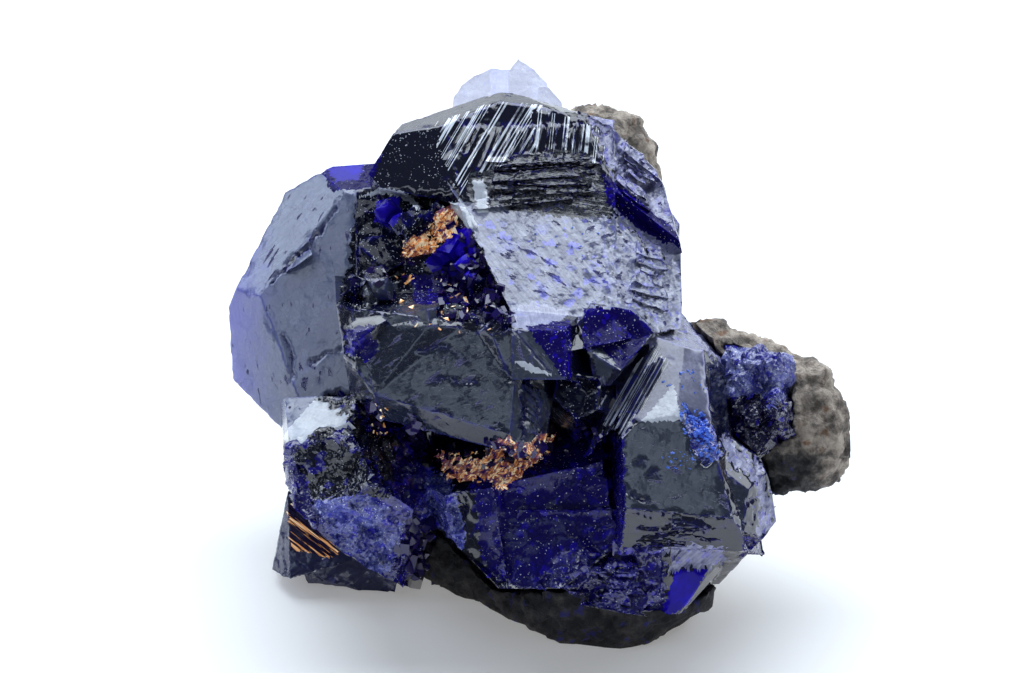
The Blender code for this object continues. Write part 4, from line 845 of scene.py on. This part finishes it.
flake_models = [
    cut_crystal([((0, 0, 1), 0.10), ((0, 0, -1), 0.10), ((0.9, 0.5, 0), 0.35), ((-0.8, 0.6, 0), 0.5),
                 ((0, -1, 0), 0.4)]),
    cut_crystal([((0, 0, 1), 0.12), ((0, 0, -1), 0.12), ((1, 0, 0), 0.22), ((-1, 0.1, 0), 0.25),
                 ((0.3, 1, 0), 0.8)]),
]
skin = bmesh.new()
skin.from_mesh(cluster.data)
tree = BVHTree.FromBMesh(skin)
skin.free()
sparkle = azurite("azurite small crystals", deep=(0.010, 0.004, 0.080), glowing=0.40, roughness=0.06,
                  specular=0.35)
sparkles = scatter(crystal_models, SPARKLE_RINGS, tree, draw, 0.2)
piece_from(sparkles, "small_crystals", sparkle)
gold = Finish("gold flakes")
gleam = gold.mix(gold.ramp(gold.cloud(0.3, 2.0), 0.40, 0.60), GOLD, CREAM)
# The flakes give off their colour as a painted glow.
gold.done(gleam, gold.cloud(0.3) * 0.3 + 0.15, gold.cloud(0.15, 2.0) * 0.01, Metallic=0.5,
          Emission_Color=gleam, Emission_Strength=0.30)
powder = azurite("azurite blue powder", deep=(0.05, 0.16, 0.75), glow=(0.02, 0.02, 0.50), glowing=0.4,
                 roughness=0.5, lit=0.10, rim=0.0)
grains = scatter(crystal_models, POWDER_RINGS, tree, draw, 0.1)
piece_from(grains, "blue_powder", powder)
flecks = scatter(flake_models, GOLD_RINGS, tree, draw, -0.05, 0.7)
piece_from(flecks, "gold_flecks", gold.material)
for model in crystal_models + flake_models:
    bpy.data.objects.remove(model, do_unlink=True)

# ---- The smaller groups of crystals ------------------------------------------------------------
# Pale blades behind the top, a group half under the left crystal, and a crust of small crystals on
# the right lobe of the rock.
# The blades' pale colour and the strong glow of that colour are painted light, as if lit through from behind.
blade_finish = azurite("azurite pale blades", deep=(0.46, 0.49, 0.62), frost_and_sheen_share=0.6, frost_and_sheen=(0.66, 0.70, 0.82),
                       glowing=0.25, roughness=0.25, facet=0.4, tilt=0.06, glow=(0.36, 0.38, 0.80), rim=0.4,
                       through=1.0, lit=0.75)
rear_finish = azurite("azurite rear crystals", deep=(0.02, 0.022, 0.08), frost_and_sheen_share=0.25, glowing=0.4, facet=0.9,
                      tilt=0.05, roughness=0.12, streaks=0.1, streak_turn=-55.0)
# The crust comes in two copies of one finish: a lit copy with a pale blue frost of painted light for its
# upper part, and a copy darkened into painted shade for its lower part.
crust_in_light = azurite("azurite crust in the light", deep=(0.012, 0.012, 0.240), frost_and_sheen_share=0.50, frost_and_sheen=(0.62, 0.72, 0.98),
                       glowing=0.6, facet=0.6, tilt=0.30, roughness=0.05, dust=1.5)
crust_shade = azurite("azurite crust in the light in the shade", deep=(0.004, 0.002, 0.050), glowing=0.45, facet=0.7,
                      tilt=0.30, roughness=0.05, dust=0.5)
streaked = Finish("azurite gold streaks")
rays = streaked.cloud(1.0, 3.0, streaked.turned(52.0, (4.6, 1.0, 0.25)), 0.6)
gleaming = streaked.ramp(rays, 0.50, 0.56)
ray_colour = streaked.mix(streaked.ramp(rays, 0.56, 0.66), GOLD, CREAM)
ray_colour = streaked.mix(gleaming, (0.012, 0.006, 0.040), ray_colour)
# The gold streaks give off their colour as a painted glow.
ray_light = streaked.mix(gleaming, (0.0, 0.0, 0.0), ray_colour)
streaked.done(ray_colour, 0.2, rays * 0.1, Emission_Color=ray_light, Emission_Strength=0.35)
GROUP_FINE = 0.17         # lengths of edges that show and that don't, millimetres
GROUP_COARSE = 0.5
GROUP_WANDER = 0.6
SWELL = 0.06              # soft swelling of the faces
GROUPS = [                # node, piece, finish, second finish, its outline, lift, facet size and tilt
    ("back_blades", "pale_blades", blade_finish, None, None, -0.08, 0.6, 0.08),
    ("rear_crystals", "rear_group", rear_finish, streaked.material,
     [(-15.0, -8.2), (-14.2, -8.6), (-11.9, -11.4), (-12.4, -12.2), (-15.0, -11.6)], -0.08, 0.9, 0.08),
    # The crust's lower part, inside this outline, takes the copy darkened into painted shade.
    ("right_crystals", "right_crust", crust_in_light, crust_shade,
     [(9.0, -2.6), (12.4, -2.4), (13.4, -3.0), (15.4, -2.0), (15.4, -8.0), (9.0, -8.0)], 0.26, 0.9, 0.42),
]
for node, name, finish, other_finish, outline, lift, shard, tilt in GROUPS:
    piece = copy_of(node, name)
    piece.data.materials.append(finish)
    shape = bmesh.new()
    shape.from_mesh(piece.data)
    refine(shape, GROUP_FINE, GROUP_COARSE, lambda face: face.normal.dot(NEAR) > -0.2)
    shape.normal_update()
    for vert in shape.verts:
        place = on_front(vert.co)
        height = shards(place, shard, tilt) + noise.noise(place * 1.2) * SWELL + lift
        vert.co += vert.normal * height * MM
    if outline:
        piece.data.materials.append(other_finish)
        for face in shape.faces:
            place = on_front(face.calc_center_median())
            ragged = noise.noise(place * 1.6) * GROUP_WANDER
            if inside(outline, place.x + ragged, place.y + ragged):
                face.material_index = 1
    shape.to_mesh(piece.data)
    shape.free()
    bpy.ops.object.shade_smooth_by_angle(angle=SMOOTH_ANGLE)
    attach(piece, "root")
    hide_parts(node)

# ---- The rock ----------------------------------------------------------------------------------
# A lump of iron-stained rock that the crystals grew on: crusty, paler on top where it faces up, nearly black
# with blue stains towards its foot, full of pits.
ROCK_FINE = 0.24          # lengths of edges that show and that don't, millimetres
ROCK_COARSE = 0.55
ROCK_SMOOTH_ANGLE = math.radians(35.0)
FOOT_HEIGHT = 0.25        # the flat that the rock rests on is left alone up to here, millimetres
LUMPS = 0.30              # how much lumps, folds, crumbs and pits stand out or go in, millimetres
FOLDS = 0.22
CRUMBS = 0.12
PITS = 0.45
PITS_APART = Vector((9.0, 3.0, 5.0))
ROCK_LIFT = 0.10
LOBE_START, LOBE_FADE = 7.6, 1.6          # right of here the lobe is pale, millimetres across
RIDGE_START, BACK_START = 5.0, -8.0       # above and behind here the rock is pale, rise and near
DARK_FOOT_START, DARK_FOOT_FADE = -5.0, 2.5       # below here the foot is dark, rise
DARK_FOOT_END, DARK_FOOT_END_FADE = 16.8, 2.0     # and left of here, across


def fade(past, over):
    """0 before a place, 1 well past it and even between."""
    return min(1.0, max(0.0, past / over))


rock = copy_of("matrix", "rock")
stone = Finish("brown-grey rock")
mottle = stone.cloud(1.5, 6.0, roughness=0.7)
crumb = stone.cloud(0.35, 4.0, roughness=0.7)
pale = stone.mix(stone.ramp(mottle, 0.38, 0.62), (0.085, 0.068, 0.055), (0.47, 0.40, 0.33))
pale = stone.mix(stone.ramp(stone.cloud(0.9, 3.0), 0.58, 0.72), pale, (0.20, 0.105, 0.055))
dark = stone.mix(stone.ramp(mottle, 0.45, 0.65), (0.012, 0.012, 0.016), (0.06, 0.055, 0.055))
dark = stone.mix(stone.ramp(stone.cloud(0.8, 4.0), 0.60, 0.70) * 0.7, dark, (0.02, 0.02, 0.22))
paleness = stone.ramp(stone.painted("paleness") + (mottle - 0.5) * 0.5, 0.3, 0.7)
stone.done(stone.mix(paleness, dark, pale), crumb * 0.3 + 0.6,
           crumb * 0.16 + stone.cloud(0.12, 3.0) * 0.05 + mottle * 0.15)
rock.data.materials.append(stone.material)
shape = bmesh.new()
shape.from_mesh(rock.data)
refine(shape, ROCK_FINE, ROCK_COARSE, lambda face: face.normal.dot(NEAR) > -0.3)
shape.normal_update()
paleness_paint = shape.verts.layers.float.new("paleness")
moves = []
for vert in shape.verts:
    place = on_front(vert.co)
    # Paler on the right lobe, the ridge, the back and where the rock faces up; darker towards its foot.
    upwards = max(0.0, vert.normal.z)
    vert[paleness_paint] = fade(place.x - LOBE_START, LOBE_FADE) * 0.55 + 0.45 * upwards
    if place.y > RIDGE_START or place.z < BACK_START:
        vert[paleness_paint] = 0.6 + 0.4 * upwards
    darkening = fade(DARK_FOOT_START - place.y, DARK_FOOT_FADE) * fade(DARK_FOOT_END - place.x, DARK_FOOT_END_FADE)
    vert[paleness_paint] *= 1.0 - 0.9 * darkening
    if vert.co.z < FOOT_HEIGHT * MM:
        continue
    height = LUMPS * noise.noise(place * 0.9) + FOLDS * (abs(noise.noise(place * 1.9)) - 0.3)
    height += shards(place, 1.1, 0.22) + CRUMBS * noise.noise(place * 4.2)
    height -= PITS * max(0.0, noise.noise(place * 1.4 + PITS_APART) - 0.22)
    moves.append((vert, vert.normal * (height + ROCK_LIFT) * MM))
rock_low, rock_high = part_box("matrix")
for vert, move in moves:
    vert.co += move
    vert.co = Vector([min(max(vert.co[way], rock_low[way]), rock_high[way]) for way in range(3)])
shape.to_mesh(rock.data)
shape.free()
bpy.ops.object.shade_smooth_by_angle(angle=ROCK_SMOOTH_ANGLE)
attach(rock, "root")
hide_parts("matrix")
